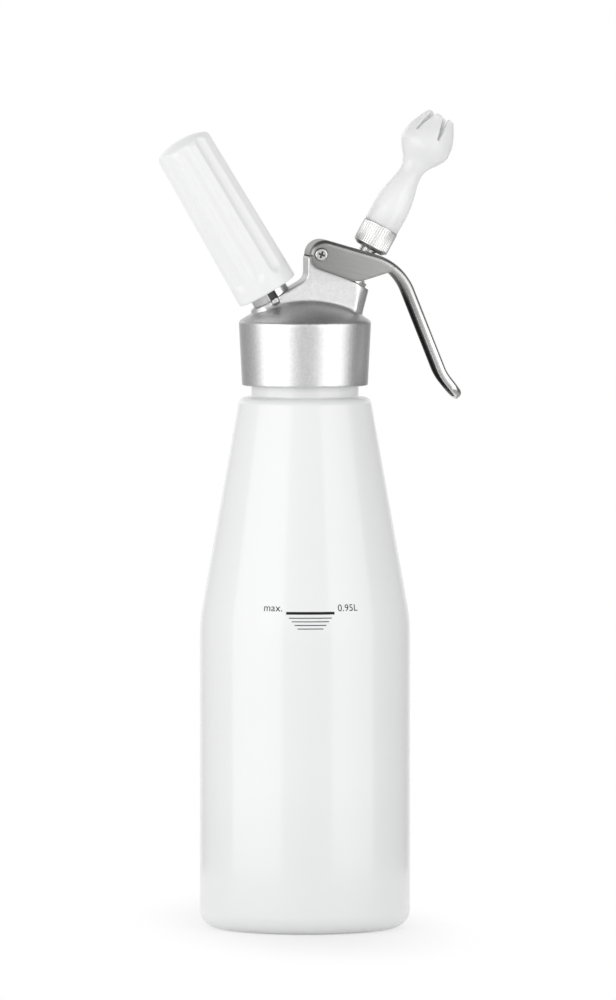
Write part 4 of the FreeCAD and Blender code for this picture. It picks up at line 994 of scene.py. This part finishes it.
def mirrored_room(ahead, right, rise):
    """The level that metal mirrors in each direction, 1 for white.

    Towards the camera the room is pale, and greyer below eye level. It is dark grey at the
    sides, most of all on the right. It is white straight behind the object, so that the edges
    of the metal stay light, and lighter high up behind it and far below it.
    """
    level_with = 1.0 - rise.math("ABSOLUTE").step(0.35, 0.80)
    front = ahead.step(0.3, 0.95) * level_with
    side = (0.26 - right * 0.12) * (1.0 - rise.step(0.3, 0.8) * 0.5)
    before = 0.44 + rise.step(-0.14, 0.0) * 0.48
    room = side + (before - side) * front
    past = ahead - rise.step(0.05, 0.22) * 0.3
    behind = (1.0 - past.step(-0.96, -0.84)) * (1.0 - rise.step(0.30, 0.45) * 0.7)
    above = (1.0 - ahead.step(-0.80, -0.35)) * rise.step(0.45, 0.65) * 0.5
    below = (1.0 - rise.step(-0.50, -0.20)) * 0.35
    return room + (1.0 - room) * behind.over(above).over(below)


def soft_room(ahead, right, rise):
    """The level that lights the matt pieces from each direction, 1 for white."""
    behind = (1.0 - ahead.step(-0.9, -0.2)) * 0.4
    above = rise.step(0.2, 1.0) * 0.5
    below = (1.0 - rise.step(-0.40, -0.15)) * 0.50
    return 0.27 - right * 0.06 + behind + above + below


def backdrop():
    """A white backdrop, with the room that the object mirrors and that lights it."""
    world = bpy.data.worlds.new("studio")
    bpy.context.scene.world = world
    world.use_nodes = True
    world.node_tree.nodes.clear()
    graph = Graph(world.node_tree)
    way = graph.node("ShaderNodeTexCoord", output="Generated")
    way = graph.node("ShaderNodeSeparateXYZ", [way])
    turn = math.radians(CAMERA_AZIMUTH)
    ahead = way.out("X") * math.sin(turn) - way.out("Y") * math.cos(turn)
    right = way.out("X") * math.cos(turn) + way.out("Y") * math.sin(turn)
    rise = way.out("Z")
    path = graph.node("ShaderNodeLightPath")
    shiny = path.out("Is Glossy Ray")
    seen = path.out("Is Camera Ray").over(path.out("Is Transmission Ray"))
    room = mirrored_room(ahead, right, rise) * shiny + soft_room(ahead, right, rise) * (1.0 - shiny)
    level = seen + room * (1.0 - seen)
    shine = graph.node("ShaderNodeBackground", {"Color": grey(1.0), "Strength": level})
    graph.node("ShaderNodeOutputWorld", {"Surface": shine})


def floor():
    """A white floor disc that fades into the backdrop; its soft shadow is partly real shade and partly painted, as
    the floor is less white near the object.
    """
    mesh = bpy.data.meshes.new("floor")
    with edited(mesh) as grid:
        bmesh.ops.create_circle(grid, cap_ends=True, cap_tris=True, radius=FLOOR_R, segments=96)
    material = bpy.data.materials.new("white_floor")
    material.use_nodes = True
    tree = material.node_tree
    tree.nodes.clear()
    graph = Graph(tree)
    path = graph.node("ShaderNodeLightPath")
    seen = path.out("Is Camera Ray").over(path.out("Is Glossy Ray"))
    seen = seen.over(path.out("Is Transmission Ray"))
    matt = graph.node("ShaderNodeBsdfDiffuse", {"Color": grey(0.85)})
    glow = graph.node("ShaderNodeEmission", {"Color": grey(1.0), "Strength": 1.0})
    spot = graph.node("ShaderNodeSeparateXYZ", [graph.node("ShaderNodeTexCoord", output="Object")])
    # painted shadow: near the object the floor is less white, in a place narrower from side to side than in depth;
    # the matt floor's real shade shows there too
    reach = ((spot.out("X") * SHADOW_NARROWING) ** 2 + spot.out("Y") ** 2).root()
    fade = FLOOR_GLOW + reach.step(*SHADOW_FADE) * (1 - FLOOR_GLOW)
    mixed = graph.node("ShaderNodeMixShader", [seen * fade, matt, glow])
    graph.node("ShaderNodeOutputMaterial", {"Surface": mixed})
    piece_of("floor", mesh, material)


def camera():
    view = bpy.data.cameras.new("camera")
    view.lens, view.sensor_width = LENS, SENSOR
    view.clip_end = FAR_END
    holder = bpy.data.objects.new("camera", view)
    holder.location = CAMERA_PLACE
    holder.rotation_euler = (math.radians(90 - CAMERA_TILT), 0, math.radians(CAMERA_AZIMUTH))
    bpy.context.scene.collection.objects.link(holder)
    bpy.context.scene.camera = holder


backdrop()
floor()
softbox("left_softbox", azimuth=-55.5, width=2.65)
softbox("right_softbox", azimuth=54.5, width=2.15)
camera()
bpy.context.scene.view_settings.view_transform = "Standard"
